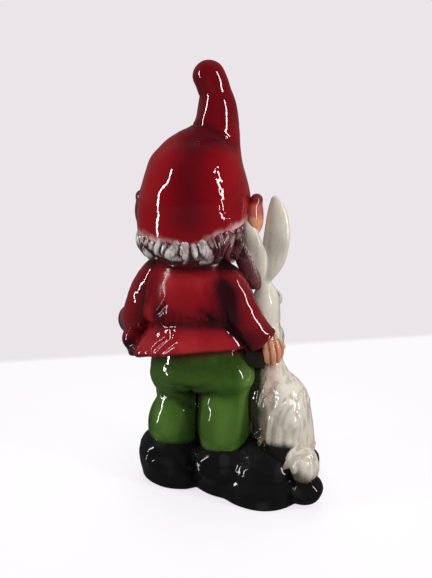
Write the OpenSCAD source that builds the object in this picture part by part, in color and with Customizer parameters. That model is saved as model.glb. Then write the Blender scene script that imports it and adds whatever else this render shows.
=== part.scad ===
// A hollow slip-cast garden gnome with a rabbit at its right side.
// The gnome looks along -Y, its right hand side is -X, and +Z is up. Millimetres.
// Each casting is a separate piece. It locates on its neighbour with a round spigot in a round socket,
// and the glaze and lacquer hide the joint. Tubular spigots let the hollow castings vent through each other.

/* [Figure] */
// Height from the ground to the top of the hat
figure_h = 330; // [310:5:350]
// Wall thickness of the hollow castings
wall = 5; // [4.5:0.25:5.5]
// Clearance round each spigot, filled with glue
glue_gap = 0.2; // [0.1:0.05:0.3]

/* [Base] */
// Thickness of the ground plinth
base_h = 16; // [15:0.5:18]
// Radius of the vent hole in the underside
vent_r = 8; // [6:0.5:9]

/* [Spigots] */
// Radius of the tubular spigots between the body castings
trunk_r = 11; // [10:0.5:12]
// Radius of the ankle, shoulder and neck spigots of the smaller castings
limb_r = 5; // [4.5:0.25:5.5]
// Radius of the small pegs on hands, ears, nose and paws
peg_r = 2.5; // [2:0.25:3]
// Length that each spigot reaches into its socket
spigot_l = 6; // [5:0.5:6.5]

/* [Hidden] */

drawn_h = 314;                        // height of the figure above the plinth, as its tables are drawn
k = (figure_h - base_h) / drawn_h;    // scale from the tables to the real figure
vent_bore = 3;                        // radius of the bore down a tubular spigot
tube_fn = 48;                         // roundness of spigots and sockets
up = [0, 0, 1];
site = k * [-6, 8.7];                 // centres the figure's bounding box on the origin

// Joint levels above the plinth
ankle_z = 18;
crotch_z = 70;
waist_z = 118;
collar_z = 168;

// Centres that several castings share
leg_l = [38, 3];
leg_r = [-3, 6];
seat_c = [18, 2];
head_c = [21.5, 1, 203];
head_r = 34;

// ---------- lofts ----------

function unit(v) = v / norm(v);

// Catmull-Rom point between p1 and p2
function spline(p0, p1, p2, p3, t) = 0.5 * (2 * p1 + (p2 - p0) * t
    + (2 * p0 - 5 * p1 + 4 * p2 - p3) * t * t + (3 * p1 - p0 - 3 * p2 + p3) * t * t * t);

// A list of keys with steps - 1 smooth in-between keys after each
function smooth(keys, steps) = let (last = len(keys) - 1) concat(
    [for (i = [0:last - 1], s = [0:steps - 1])
        spline(keys[max(i - 1, 0)], keys[i], keys[i + 1], keys[min(i + 2, last)], s / steps)],
    [keys[last]]);

// The same for a closed outline
function smooth_closed(points, steps) = let (n = len(points))
    [for (i = [0:n - 1], s = [0:steps - 1])
        spline(points[(i + n - 1) % n], points[i], points[(i + 1) % n], points[(i + 2) % n], s / steps)];

// One oval ring round c, square to along, with half width rx near the across direction
function ring(c, rx, ry, along, across, n) =
    let (w = unit(along), u = unit(across - (across * w) * w), v = cross(w, u))
    [for (i = [0:n - 1]) c + rx * cos(360 * i / n) * u + ry * sin(360 * i / n) * v];

function centre(key) = [key[0], key[1], key[2]];

function total(points, i) = i < 0 ? [0, 0, 0] : points[i] + total(points, i - 1);

function middle(points) = total(points, len(points) - 1) / len(points);

// A skin over rings that all have the same number of points, with a flat fan at each end
module skin(rings) {
    n = len(rings[0]);
    last = len(rings) - 1;
    count = n * (last + 1);
    polyhedron(points = k * concat([for (r = rings) each r], [middle(rings[0]), middle(rings[last])]),
        faces = concat(
            [for (j = [0:n - 1]) [count, j, (j + 1) % n]],
            [for (i = [0:last - 1], j = [0:n - 1]) [i * n + j, (i + 1) * n + j, (i + 1) * n + (j + 1) % n]],
            [for (i = [0:last - 1], j = [0:n - 1]) [i * n + j, (i + 1) * n + (j + 1) % n, i * n + (j + 1) % n]],
            [for (j = [0:n - 1]) [count + 1, last * n + (j + 1) % n, last * n + j]]));
}

// The way up of a ring whose back edge is lowered by tilt and whose left edge is lowered by roll
function leaning(tilt, roll) = [tan(roll), tan(tilt), 1];

// A stack of rings. A key is [x, y, z, rx, ry, tilt, roll].
module stack(keys, steps = 3, n = 24) {
    skin([for (key = smooth(keys, steps))
        ring(centre(key), key[3], key[4], leaning(key[5], key[6]), [1, 0, 0], n)]);
}

// A limb whose rings follow its path. A key is [x, y, z, r_across, r_other].
module limb(keys, across = [1, 0, 0], steps = 3, n = 16) {
    path = smooth(keys, steps);
    last = len(path) - 1;
    skin([for (i = [0:last])
        let (along = centre(path[min(i + 1, last)]) - centre(path[max(i - 1, 0)]))
        ring(centre(path[i]), path[i][3], path[i][4], along, across, n)]);
}

// The hollow inside a stack, one wall thickness smaller all round
module hollow(keys, steps = 2, n = 14) {
    w = wall / k;
    low = keys[0][2];
    high = keys[len(keys) - 1][2];
    squeeze = (high - low - 2 * w) / (high - low);
    stack([for (key = keys)
        [key[0], key[1], low + w + (key[2] - low) * squeeze, key[3] - w, key[4] - w, key[5], key[6]]], steps, n);
}

// ---------- spigots and sockets ----------

// Stands children on the plinth
module on_base() {
    translate([site[0], site[1], base_h]) children();
}

// Puts a rod's start at a point of the tables, pointing along a direction
module aim(at, along) {
    d = unit(along);
    translate(k * at) rotate([0, acos(d[2]), atan2(d[1], d[0])]) children();
}

// A spigot: it is sunk a little into its own casting, and stands out by spigot_l
module spigot(at, along, r, root = 2) {
    aim(at, along) translate([0, 0, -root]) cylinder(r = r, h = spigot_l + root, $fn = tube_fn);
}

// The socket for the same spigot, with glue clearance at its sides and its end. It starts lead before the joint.
module socket(at, along, r, lead = 1) {
    aim(at, along) translate([0, 0, -lead]) cylinder(r = r + glue_gap, h = spigot_l + lead + 0.5, $fn = tube_fn);
}

// The vent bore down a tubular spigot, from end to end
module vent(at, along, root) {
    aim(at, along) translate([0, 0, -root]) cylinder(r = vent_bore, h = root + spigot_l + 1, $fn = tube_fn);
}

function down(v) = -v;

// ---------- base ----------

base_outline = [[70, -6], [64, 6], [53, 17], [38, 28], [25, 29], [14, 24], [-3, 31], [-21, 38],
    [-43, 40], [-58, 31], [-64, 15], [-74, 0], [-76, -22], [-70, -46], [-40, -57], [0, -60],
    [40, -60], [64, -44]];

function outline_at(z, grow) = let (c = [0, -12])
    [for (p = smooth_closed(base_outline, 3)) let (d = p - c, q = c + d * (1 + grow / norm(d))) [q[0], q[1], z]];

foot_pegs = [[38, 2, 0], [-3, 6, 0]];
rabbit_peg = [-48, 2, 0];

mound_keys = [[-38, 15, -3, 25, 24, 0, 0], [-38, 15, 8, 25, 24, 0, 0], [-39.5, 14, 16, 24.5, 21.5, 0, 0],
    [-39, 11, 23, 19, 17, 0, 0], [-35, 7, 30, 10, 11, 0, 0]];

// The mound of earth that fills the gap between the rabbit and the right shoe
module mound() {
    on_base() difference() {
        stack(mound_keys, 2, 24);
        stack(rabbit_keys, 2, 24);
        limb(shoe_keys(-5, 9, -3), steps = 2, n = 20);
        stack(leg_keys(leg_r), 2, 20);
        translate(k * tail_c) sphere(r = k * tail_r, $fn = 48);
        ground_sockets();
    }
}

// Where the shoes and the rabbit stand in the plinth
module ground_sockets() {
    for (p = foot_pegs) socket(p, down(up), limb_r);
    socket(rabbit_peg, down(up), trunk_r);
}

module base_plinth() {
    color([0.06, 0.06, 0.06]) {
        plinth();
        mound();
    }
}

module plinth() {
    translate([site[0], site[1], 0]) difference() {
        skin([outline_at(0, -1), outline_at(2, 0), outline_at(7, 1), outline_at(11, 0),
            outline_at(14, -1.5), outline_at(base_h / k, -5)]);
        skin([outline_at(wall / k, -9), outline_at((base_h - wall) / k, -12)]);
        translate([-site[0], -site[1], -1]) cylinder(r = vent_r, h = wall + 2, $fn = 64);
        translate([0, 0, base_h]) ground_sockets();
    }
}

// ---------- shoes ----------

// Rings run from heel to toe: distance behind the ankle, half width, half height
shoe_rings = [[27, 9, 5], [25, 15, 9], [17, 20, 12], [3, 22, 13], [-14, 22, 12.5], [-32, 21, 12],
    [-44, 16, 10], [-51, 7, 6]];

function shoe_keys(x, y, turn) = [for (s = shoe_rings)
    [x - s[0] * sin(turn), y + s[0] * cos(turn), s[2], s[1], s[2] - 0.02]];

module shoe(keys, peg, leg) {
    on_base() difference() {
        union() {
            difference() {
                limb(keys, steps = 2, n = 20);
                // cut level under the ankle, where the trouser leg stands
                translate(k * [leg[0] - 26, leg[1] - 26, ankle_z]) cube([52, 52, 20] * k);
            }
            spigot(peg, down(up), limb_r, 4);
        }
        socket([leg[0], leg[1], ankle_z], down(up), limb_r);
    }
}

module left_shoe() {
    color([0.07, 0.07, 0.07]) shoe(shoe_keys(43, 1, 8), foot_pegs[0], leg_l);
}

module right_shoe() {
    color([0.07, 0.07, 0.07]) difference() {
        shoe(shoe_keys(-5, 9, -3), foot_pegs[1], leg_r);
        on_base() limb(shoe_keys(43, 1, 8), steps = 2, n = 20);
    }
}

// ---------- trousers ----------

function leg_keys(c) = [for (s = [[ankle_z, 18], [22, 20], [32, 21], [44, 20.4], [56, 19], [64, 19.5], [crotch_z, 20]])
    [c[0], c[1], s[0], s[1], s[1], 0, 0]];

module trouser_leg(c) {
    foot = [c[0], c[1], ankle_z];
    on_base() difference() {
        union() {
            stack(leg_keys(c), 2, 20);
            spigot(foot, down(up), limb_r, 4);
        }
        hollow(leg_keys(c), 2, 12);
        vent(foot, down(up), 10);
        socket([c[0], c[1], crotch_z], down(up), limb_r);
    }
}

module left_trouser_leg() {
    color([0.25, 0.45, 0.12]) trouser_leg(leg_l);
}

module right_trouser_leg() {
    color([0.25, 0.45, 0.12]) difference() {
        trouser_leg(leg_r);
        on_base() stack(leg_keys(leg_l), 2, 20);
    }
}

seat_keys = [[15.5, 4, crotch_z, 41.5, 23, 0, 0], [15.5, 4, 77, 42, 27, 0, 0], [16, 3, 88, 41, 27, 0, 0],
    [18, 2, 100, 37, 25, 0, 0], [18, 2, 108, 33, 23, 0, 0]];
seat_top = [seat_c[0], seat_c[1], 108];

module trouser_seat() {
    color([0.25, 0.45, 0.12]) on_base() difference() {
        union() {
            stack(seat_keys, 2, 28);
            for (c = [leg_l, leg_r]) spigot([c[0], c[1], crotch_z], down(up), limb_r, 4);
            spigot(seat_top, up, trunk_r, 4);
        }
        hollow(seat_keys, 2, 16);
        for (c = [leg_l, leg_r]) vent([c[0], c[1], crotch_z], down(up), 8);
        vent(seat_top, up, 8);
    }
}

// ---------- jacket ----------

skirt_keys = [[25, 2, 92, 51, 33, -14, 9], [24.5, 2, 96, 51, 33, -14, 8], [21, 2, 107, 44, 30, -13, 6],
    [19, 2, waist_z, 37, 25.5, -12, 5]];
waist_up = leaning(-12, 5);
waist_c = [19, 2, waist_z];

module jacket_skirt() {
    color([0.6, 0.05, 0.08]) on_base() difference() {
        union() {
            stack(skirt_keys, 3, 32);
            spigot(waist_c, waist_up, trunk_r, 4);
        }
        stack(seat_keys, 2, 28);
        socket(seat_top, up, trunk_r);
        vent(waist_c, waist_up, 16);
    }
}

jacket_keys = [[19, 2, waist_z, 37, 25.5, -12, 5], [20, 2, 124, 40, 28, -11, 4], [20, 2, 138, 38, 28, -6, 2],
    [21, 2, 150, 35, 26, -2, 0], [22, 2, 160, 29, 22, 0, 0], [22, 2, collar_z, 21, 18, 0, 0]];

shoulder_l = [55, 3, 148];
shoulder_r = [-13, 4, 148];
button_z = [119.5, 127.5, 135.5];
button_y = -23;

module jacket_body() {
    color([0.6, 0.05, 0.08]) on_base() difference() {
        union() {
            stack(jacket_keys, 3, 28);
            // bosses behind the shoulder joints
            for (s = [shoulder_l, shoulder_r])
                aim([22, s[1], s[2]], [s[0] - 22, 0, 0])
                    cylinder(r = limb_r + 3, h = k * (abs(s[0] - 22) - 4), $fn = tube_fn);
        }
        hollow(jacket_keys, 2, 16);
        socket(waist_c, waist_up, trunk_r);
        socket([head_c[0], head_c[1], collar_z], down(up), trunk_r);
        for (s = [shoulder_l, shoulder_r]) socket(s, [22 - s[0], 0, 0], limb_r, 6);
    }
}

module jacket_buttons() {
    color([0.75, 0.6, 0.2]) on_base() difference() {
        for (z = button_z)
            aim([20, button_y, z], [0, -1, 0])
                rotate_extrude($fn = 32) polygon([[0, 0], [3.2, 0], [3.2, 4], [2.2, 5], [0, 5.2]]);
        stack(jacket_keys, 3, 28);
        stack(skirt_keys, 3, 32);
    }
}

// ---------- arms ----------

left_sleeve_keys = [[47, 3, 160, 8, 8], [52, 3, 156, 11, 11], [59, 3, 144, 13, 12.5], [65, 2, 130, 13.5, 13],
    [70, -2, 119, 13.5, 13], [76, -11, 112, 13, 12.5], [82, -20, 108, 13.5, 12.5]];
right_sleeve_keys = [[-2, 6, 160, 8, 8], [-7, 7, 155, 11, 11], [-14, 9, 143, 12.5, 12], [-20, 11, 131, 13, 12.5],
    [-26, 11, 121, 12.5, 12], [-32, 10, 114, 12, 11.5]];
left_wrist = [82, -20, 108];
right_wrist = [-32, 10, 114];
left_wrist_dir = [6, -9, -3];
right_wrist_dir = [-7, -1, -8];

module sleeve(keys, shoulder, wrist, wrist_dir) {
    on_base() difference() {
        union() {
            difference() {
                limb(keys, [0, 1, 0], 3, 16);
                stack(jacket_keys, 3, 28);
                stack(skirt_keys, 3, 32);
            }
            spigot(shoulder, [22 - shoulder[0], 0, 0], limb_r, 6);
        }
        socket(wrist, -wrist_dir, peg_r);
    }
}

module left_sleeve() {
    color([0.6, 0.05, 0.08]) sleeve(left_sleeve_keys, shoulder_l, left_wrist, left_wrist_dir);
}

module right_sleeve() {
    color([0.6, 0.05, 0.08]) sleeve(right_sleeve_keys, shoulder_r, right_wrist, right_wrist_dir);
}

// ---------- hands ----------

// A rounded bar through a list of balls [x, y, z, r]
module balls(list) {
    hull() for (b = list) translate(k * centre(b)) sphere(r = k * b[3], $fn = 16);
}

module left_hand() {
    color([0.85, 0.6, 0.45]) on_base() {
        balls([[86, -28, 105, 7], [87, -34, 99, 7], [83, -35, 92, 5]]);
        spigot(left_wrist, -left_wrist_dir, peg_r, 7);
    }
}

module right_hand() {
    color([0.85, 0.6, 0.45]) on_base() {
        balls([[-36, 10, 109, 6.5], [-41, 9, 101, 6.5], [-45, 8, 94, 5]]);
        spigot(right_wrist, -right_wrist_dir, peg_r, 6);
    }
}

// ---------- head ----------

neck_r = 19;

module head_ball() {
    translate(k * head_c) sphere(r = k * head_r, $fn = 96);
}

module head() {
    color([0.85, 0.6, 0.45]) on_base() difference() {
        union() {
            head_ball();
            translate(k * [head_c[0], head_c[1], collar_z]) cylinder(r = k * neck_r, h = 20, $fn = 64);
            spigot([head_c[0], head_c[1], collar_z], down(up), trunk_r, 4);
        }
        translate(k * head_c) sphere(r = k * head_r - wall, $fn = 96);
        vent([head_c[0], head_c[1], collar_z], down(up), 12);
    }
}

module nose_ball() {
    limb([for (s = [[-27, 5], [-30, 6.2], [-34, 6.8], [-38, 5.8], [-40.5, 3.4], [-41.5, 1.4]])
        [head_c[0], s[0], 193, s[1], s[1]]], steps = 2);
}

module nose() {
    color([0.85, 0.5, 0.4]) on_base() difference() {
        nose_ball();
        head_ball();
    }
}

left_ear_x = 64.5;
right_ear_x = -24;

module ear_shape(x, lean) {
    limb([for (s = [[186.5, 1.2, 2], [189, 4, 6], [195, 6, 9.5], [203, 6.6, 10.8], [211, 5.4, 8.5], [216, 3, 5],
        [217.5, 1, 1.6]]) [x + lean * (s[0] - 202), -6, s[0], s[1], s[2]]], steps = 2);
}

module ear(x, lean) {
    on_base() difference() {
        ear_shape(x, lean);
        stack(hat_keys, 3, 32);
        head_ball();
    }
}

module left_ear() {
    color([0.85, 0.5, 0.4]) ear(left_ear_x, 0.14);
}

module right_ear() {
    color([0.85, 0.5, 0.4]) ear(right_ear_x, -0.14);
}

module eyebrows() {
    color([0.9, 0.9, 0.88]) on_base() difference() {
        for (side = [-1, 1])
            balls([[head_c[0] + side * 10.5, -32, 195.4, 2.2], [head_c[0] + side * 18.5, -28, 194.2, 2.0]]);
        head_ball();
    }
}

module neck() {
    translate(k * [head_c[0], head_c[1], collar_z - 1]) cylinder(r = k * neck_r, h = 22, $fn = 64);
}

hair_keys = [[21.5, 6, collar_z, 27, 25, 0, 0], [21.5, 6, 174, 35, 33, 2, 0], [21.5, 6, 182, 38, 36, 6, 0],
    [21.5, 5, 192, 38.5, 37, 10, 0]];

module hair() {
    color([0.85, 0.83, 0.82]) on_base() difference() {
        stack(hair_keys, 2, 32);
        head_ball();
        neck();
        stack(hat_keys, 3, 32);
        limb(beard_keys, [1, 0, 0], 3, 24);
        limb(left_sleeve_keys, [0, 1, 0], 3, 16);
        limb(right_sleeve_keys, [0, 1, 0], 3, 16);
        // the hair stops at the temples
        translate(k * [-30, -72, 150]) cube(k * [110, 60, 60]);
    }
}

beard_keys = [[21.5, -23, 142, 5, 4], [21.5, -26, 149, 12, 7], [21.5, -27, 160, 20, 9], [21.5, -26, 172, 26, 10],
    [21.5, -23, 185, 28, 10]];

module beard() {
    color([0.9, 0.9, 0.88]) on_base() difference() {
        limb(beard_keys, [1, 0, 0], 3, 24);
        head_ball();
        neck();
        stack(jacket_keys, 3, 28);
        moustache_halves();
        nose_ball();
    }
}

module moustache_halves() {
    for (side = [-1, 1])
        balls([[head_c[0] + side * 4, -34, 185, 4], [head_c[0] + side * 13, -32, 183, 3.4],
            [head_c[0] + side * 20, -29, 186, 1.6]]);
}

module moustache() {
    color([0.92, 0.92, 0.9]) on_base() difference() {
        moustache_halves();
        head_ball();
        nose_ball();
    }
}

// ---------- hat ----------

hat_keys = [[21.5, 3, 194, 41, 40, 9, 5], [21.5, 3, 197, 42.5, 41.5, 9, 5], [21, 3, 208, 43, 42, 8, 2],
    [20.5, 4, 220, 41.5, 41, 6, 0], [19.5, 5, 232, 37.5, 38, 4, 0], [17.5, 6, 243, 31, 32, 0, 0],
    [14, 5, 253, 24.5, 25, -2, 0], [9, 0, 260, 17.5, 17.5, 0, 0]];
tip_keys = [[9, 0, 260, 17.5, 17.5], [6, -2, 268, 16.5, 16.5], [5.5, -3, 280, 14.5, 14.5], [6, -2, 290, 12.4, 12.4],
    [8.5, -1, 299, 11.6, 11.6], [10.5, 0, 306, 11, 11], [12, 0.5, 311.5, 8, 8], [12.5, 0.5, 313.8, 3, 3]];
hat_joint = [9, 0, 260];

module hat_crown() {
    color([0.55, 0.03, 0.06]) on_base() difference() {
        stack(hat_keys, 3, 32);
        head_ball();
        translate(k * [17, 4, 232]) sphere(r = k * 18, $fn = 64);
        socket(hat_joint, down(up), limb_r);
    }
}

module hat_tip() {
    color([0.55, 0.03, 0.06]) on_base() {
        stack([for (key = tip_keys) concat(key, [0, 0])], 3, 20);
        spigot(hat_joint, down(up), limb_r, 4);
    }
}

// ---------- rabbit ----------

rabbit_keys = [[-48, 2, 0, 20, 20, 0, 0], [-50, 2, 5, 22, 23, 0, 0], [-54, 3, 20, 22.5, 24, 0, 0],
    [-50.5, 2, 38, 23, 23, 0, 0], [-46, 1, 50, 24.5, 22, 0, 0], [-43.8, 0, 62, 23.8, 20.5, 0, 0],
    [-41, -2, 72, 21, 18, 0, 0], [-37, -4, 80, 16, 15.5, 0, 0], [-35, -6, 88, 12.5, 14, 0, 0],
    [-36.4, -8, 97, 9.6, 13.5, 0, 0], [-35.8, -10, 105, 9.6, 13, 0, 0], [-34.5, -11.5, 111, 10.2, 12.5, 0, 0],
    [-33, -13, 119, 9.5, 11.5, 0, 0]];
rabbit_neck = [-33, -13, 119];
tail_c = [-71, 23, 17];
tail_r = 11;

module rabbit_body() {
    color([0.8, 0.78, 0.72]) on_base() difference() {
        union() {
            stack(rabbit_keys, 2, 24);
            spigot(rabbit_peg, down(up), trunk_r, 4);
        }
        hollow([for (i = [0, 2, 3, 5, 7, 9, 10]) rabbit_keys[i]], 1, 14);
        vent(rabbit_peg, down(up), 10);
        socket(rabbit_neck, down(up), limb_r);
        balls([[-36, 10, 109, 6.9], [-41, 9, 101, 6.9], [-45, 8, 94, 5.4]]);
        limb(right_sleeve_keys, [0, 1, 0], 3, 16);
        stack(leg_keys(leg_r), 2, 20);
        stack(seat_keys, 2, 28);
    }
}

rabbit_head_keys = [[-32, -1, 134, 3, 4], [-32, -3, 134, 7.5, 10], [-32, -9, 134, 10.2, 15],
    [-32, -17, 134.5, 10.6, 14.5], [-32, -27, 133.5, 8.6, 10], [-31.8, -34, 131.8, 5.5, 6.2], [-31.8, -37, 131, 2.5, 3]];

module rabbit_head() {
    color([0.8, 0.78, 0.72]) on_base() difference() {
        union() {
            limb(rabbit_head_keys, [1, 0.1, 0], 3, 20);
            stack([[-33, -13, 119, 9.5, 11.5, 0, 0], [-32.5, -12.5, 126, 10, 12.5, 0, 0],
                [-32, -12.5, 136, 9.5, 12, 0, 0]], 2, 20);
            spigot(rabbit_neck, down(up), limb_r, 4);
        }
        limb(rabbit_left_ear_keys, [1, 0.3, 0], 3, 14);
        limb(rabbit_right_ear_keys, [1, 0.3, 0], 3, 14);
        limb(right_sleeve_keys, [0, 1, 0], 3, 16);
    }
}

rabbit_left_ear_keys = [[-29, -9, 147, 3, 3], [-28.3, -8, 155, 4, 3.5], [-26, -4, 170, 7.5, 4.5],
    [-22.8, 0, 187, 6.5, 4], [-20.5, 2, 197, 3.5, 3], [-20, 2, 200, 1.2, 1]];
rabbit_right_ear_keys = [[-31.5, -10, 147, 3.2, 3], [-32.3, -9.5, 155, 4.4, 3.6], [-37.5, -8.5, 167, 8, 4.3],
    [-40.5, -8, 182, 9.6, 4.5], [-41, -8, 196, 8.8, 4.5], [-40, -8, 209, 6.3, 4], [-38.8, -8, 219, 1.5, 1.2]];

module rabbit_left_ear() {
    color([0.8, 0.78, 0.72]) on_base() difference() {
        limb(rabbit_left_ear_keys, [1, 0.3, 0], 3, 14);
        limb(rabbit_right_ear_keys, [1, 0.3, 0], 3, 14);
        stack(jacket_keys, 3, 28);
        stack(hair_keys, 2, 32);
        stack(hat_keys, 3, 32);
        ear_shape(right_ear_x, -0.14);
    }
}

module rabbit_right_ear() {
    color([0.8, 0.78, 0.72]) on_base() limb(rabbit_right_ear_keys, [1, 0.3, 0], 3, 14);
}

module rabbit_tail() {
    color([0.82, 0.8, 0.74]) on_base() difference() {
        translate(k * tail_c) sphere(r = k * tail_r, $fn = 48);
        stack(rabbit_keys, 2, 24);
    }
}

module rabbit_foreleg(keys) {
    color([0.8, 0.78, 0.72]) on_base() difference() {
        limb(keys, [1, 0, 0], 2, 12);
        stack(rabbit_keys, 2, 24);
    }
}

module rabbit_left_foreleg() {
    rabbit_foreleg([[-27.5, -16, 112, 3, 3], [-27, -23, 111, 5.5, 5.5], [-26, -31, 105, 5.5, 5.5],
        [-25.5, -37, 98, 5.5, 5], [-25.5, -38, 93, 2, 2]]);
}

module rabbit_right_foreleg() {
    rabbit_foreleg([[-39, -14, 108, 3, 3], [-38.5, -21, 107, 5.5, 5.5], [-38, -30, 101, 5.5, 5.5],
        [-37.5, -36, 94, 5.5, 5], [-37.5, -37, 89, 2, 2]]);
}

module rabbit_hind_foot(x, y) {
    color([0.8, 0.78, 0.72]) on_base() difference() {
        limb([[x, y, 5, 3, 3], [x, y - 3, 6.5, 6.5, 6], [x, y - 14, 7, 8, 6.5], [x, y - 24, 6, 7, 5.5],
            [x, y - 28, 5, 3, 3]], [1, 0, 0], 2, 14);
        stack(rabbit_keys, 2, 24);
    }
}

module rabbit_left_hind_foot() {
    rabbit_hind_foot(-37, -17);
}

module rabbit_right_hind_foot() {
    rabbit_hind_foot(-62, -17);
}

base_plinth();
left_shoe();
right_shoe();
left_trouser_leg();
right_trouser_leg();
trouser_seat();
jacket_skirt();
jacket_body();
jacket_buttons();
left_sleeve();
right_sleeve();
left_hand();
right_hand();
head();
nose();
left_ear();
right_ear();
eyebrows();
hair();
beard();
moustache();
hat_crown();
hat_tip();
rabbit_body();
rabbit_head();
rabbit_left_ear();
rabbit_right_ear();
rabbit_tail();
rabbit_left_foreleg();
rabbit_right_foreleg();
rabbit_left_hind_foot();
rabbit_right_hind_foot();
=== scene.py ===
"""The finished figure: a glossy painted garden gnome with a white rabbit, sculpted over its CAD castings."""
import bpy
import math
import numpy as np
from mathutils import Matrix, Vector

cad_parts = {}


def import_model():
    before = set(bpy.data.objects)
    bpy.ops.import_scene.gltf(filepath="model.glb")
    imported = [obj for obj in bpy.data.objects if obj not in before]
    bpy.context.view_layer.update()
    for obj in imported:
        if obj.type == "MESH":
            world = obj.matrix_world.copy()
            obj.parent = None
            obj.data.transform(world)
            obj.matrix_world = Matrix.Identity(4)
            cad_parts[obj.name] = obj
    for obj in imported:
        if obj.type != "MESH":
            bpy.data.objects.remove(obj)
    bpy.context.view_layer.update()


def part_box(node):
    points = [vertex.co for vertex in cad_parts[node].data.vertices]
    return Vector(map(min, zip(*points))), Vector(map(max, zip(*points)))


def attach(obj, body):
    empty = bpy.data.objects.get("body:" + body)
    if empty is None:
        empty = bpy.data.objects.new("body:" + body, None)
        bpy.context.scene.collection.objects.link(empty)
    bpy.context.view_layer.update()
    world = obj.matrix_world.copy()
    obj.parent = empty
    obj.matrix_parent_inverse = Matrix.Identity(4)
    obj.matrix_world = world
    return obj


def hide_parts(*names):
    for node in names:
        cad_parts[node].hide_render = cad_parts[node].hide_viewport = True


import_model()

# ---------- the drawing frame ----------
# Sculpting is done in the drawing's millimetres: X and Y as drawn, Z above the plinth's top.
head_lo, head_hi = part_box("head")
_, tip_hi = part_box("hat_tip")
HEAD_X, HEAD_Y = 21.5, 1.0            # the head's centre as drawn
HEAD_TOP, TIP_TOP = 237.0, 313.8      # tops of the head and of the hat as drawn
K = (tip_hi.z - head_hi.z) * 1000 / (TIP_TOP - HEAD_TOP)
ORIGIN = np.array([(head_lo.x + head_hi.x) * 500 - HEAD_X * K, (head_lo.y + head_hi.y) * 500 - HEAD_Y * K,
    head_hi.z * 1000 - HEAD_TOP * K])
PLINTH_H = ORIGIN[2] / K

STEP = 1.7          # grid step of the first mesh
QUICK_COARSER = 1.6


def world(points):
    return (np.asarray(points, float) * K + ORIGIN) / 1000


# ---------- number helpers ----------

X, Y, Z = 0, 1, 2


def smooth_step(lo, hi, v):
    t = np.clip((v - lo) / (hi - lo), 0, 1)
    return t * t * (3 - 2 * t)


def fade(p, axis, lo, hi):
    """0 at lo and 1 at hi along one axis."""
    return smooth_step(lo, hi, p[:, axis])


def smin(a, b, k):
    h = np.clip(0.5 + 0.5 * (b - a) / k, 0, 1)
    return b + (a - b) * h - k * h * (1 - h)


def smax(a, b, k):
    return -smin(-a, -b, k)


def lattice(i, j, l, seed):
    h = (i.astype(np.uint32) * np.uint32(374761393) + j.astype(np.uint32) * np.uint32(668265263)
        + l.astype(np.uint32) * np.uint32(2246822519) + np.uint32((seed * 97 + 11) * 3266489917 & 0xFFFFFFFF))
    h = (h ^ (h >> np.uint32(13))) * np.uint32(1274126177)
    h = (h ^ (h >> np.uint32(15))) * np.uint32(2654435761)
    return ((h ^ (h >> np.uint32(16))) & np.uint32(0xFFFFFF)).astype(float) / 0xFFFFFF


def noise(p, size, seed):
    """Smooth noise from -1 to 1. size is one lump's width, or three widths."""
    q = np.asarray(p, float) / np.asarray(size, float)
    c = np.floor(q).astype(np.int64)
    t = q - c
    t = t * t * t * (t * (t * 6 - 15) + 10)
    total = 0
    for dx in (0, 1):
        for dy in (0, 1):
            for dz in (0, 1):
                w = ((t[:, 0] if dx else 1 - t[:, 0]) * (t[:, 1] if dy else 1 - t[:, 1])
                     * (t[:, 2] if dz else 1 - t[:, 2]))
                total = total + w * lattice(c[:, 0] + dx, c[:, 1] + dy, c[:, 2] + dz, seed)
    return total * 2 - 1


def ripple(p, size, seed):
    """Rounded ridges with sharp valleys, 0 in a valley and 1 on a ridge."""
    return np.sqrt(np.abs(noise(p, size, seed)))


def profile(keys, per=8):
    """Smooth in-between keys (Catmull-Rom)."""
    k = np.array(keys, float)
    out = []
    for i in range(len(k) - 1):
        p0, p1, p2, p3 = k[max(i - 1, 0)], k[i], k[i + 1], k[min(i + 2, len(k) - 1)]
        for s in range(per):
            t = s / per
            out.append(0.5 * (2 * p1 + (p2 - p0) * t + (2 * p0 - 5 * p1 + 4 * p2 - p3) * t * t
                + (3 * p1 - p0 - 3 * p2 + p3) * t ** 3))
    out.append(k[-1])
    return np.array(out)


# ---------- shapes: each is a function from points to signed distance ----------


def stack_level(keys):
    """Level of a point along a stack of rings, and the rings' x, y, rx, ry there.

    A ring is [x, y, z, rx, ry], or with two more numbers the degrees it leans by along Y and X.
    """
    d = profile([(*key, 0, 0)[:7] for key in keys])
    zz = d[:, 2]

    def level(p):
        x, y, z = p.T
        s = z
        for _ in range(2):
            cx, cy, tilt, roll = (np.interp(s, zz, d[:, i]) for i in (0, 1, 5, 6))
            s = z + np.tan(np.radians(tilt)) * (y - cy) + np.tan(np.radians(roll)) * (x - cx)
        return (s,) + tuple(np.interp(s, zz, d[:, i]) for i in (0, 1, 3, 4))
    return level, zz[0], zz[-1]


def stack(keys, rim, square=2.0):
    """Leaning rings; square above 2 makes them boxier than ellipses."""
    level, low, high = stack_level(keys)

    def f(p):
        s, cx, cy, rx, ry = level(p)
        round_off = (np.abs((p[:, X] - cx) / rx) ** square
            + np.abs((p[:, Y] - cy) / ry) ** square) ** (1 / square)
        side = (round_off - 1) * np.minimum(rx, ry)
        return smax(side, np.maximum(s - high, low - s), rim)
    return f


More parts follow.
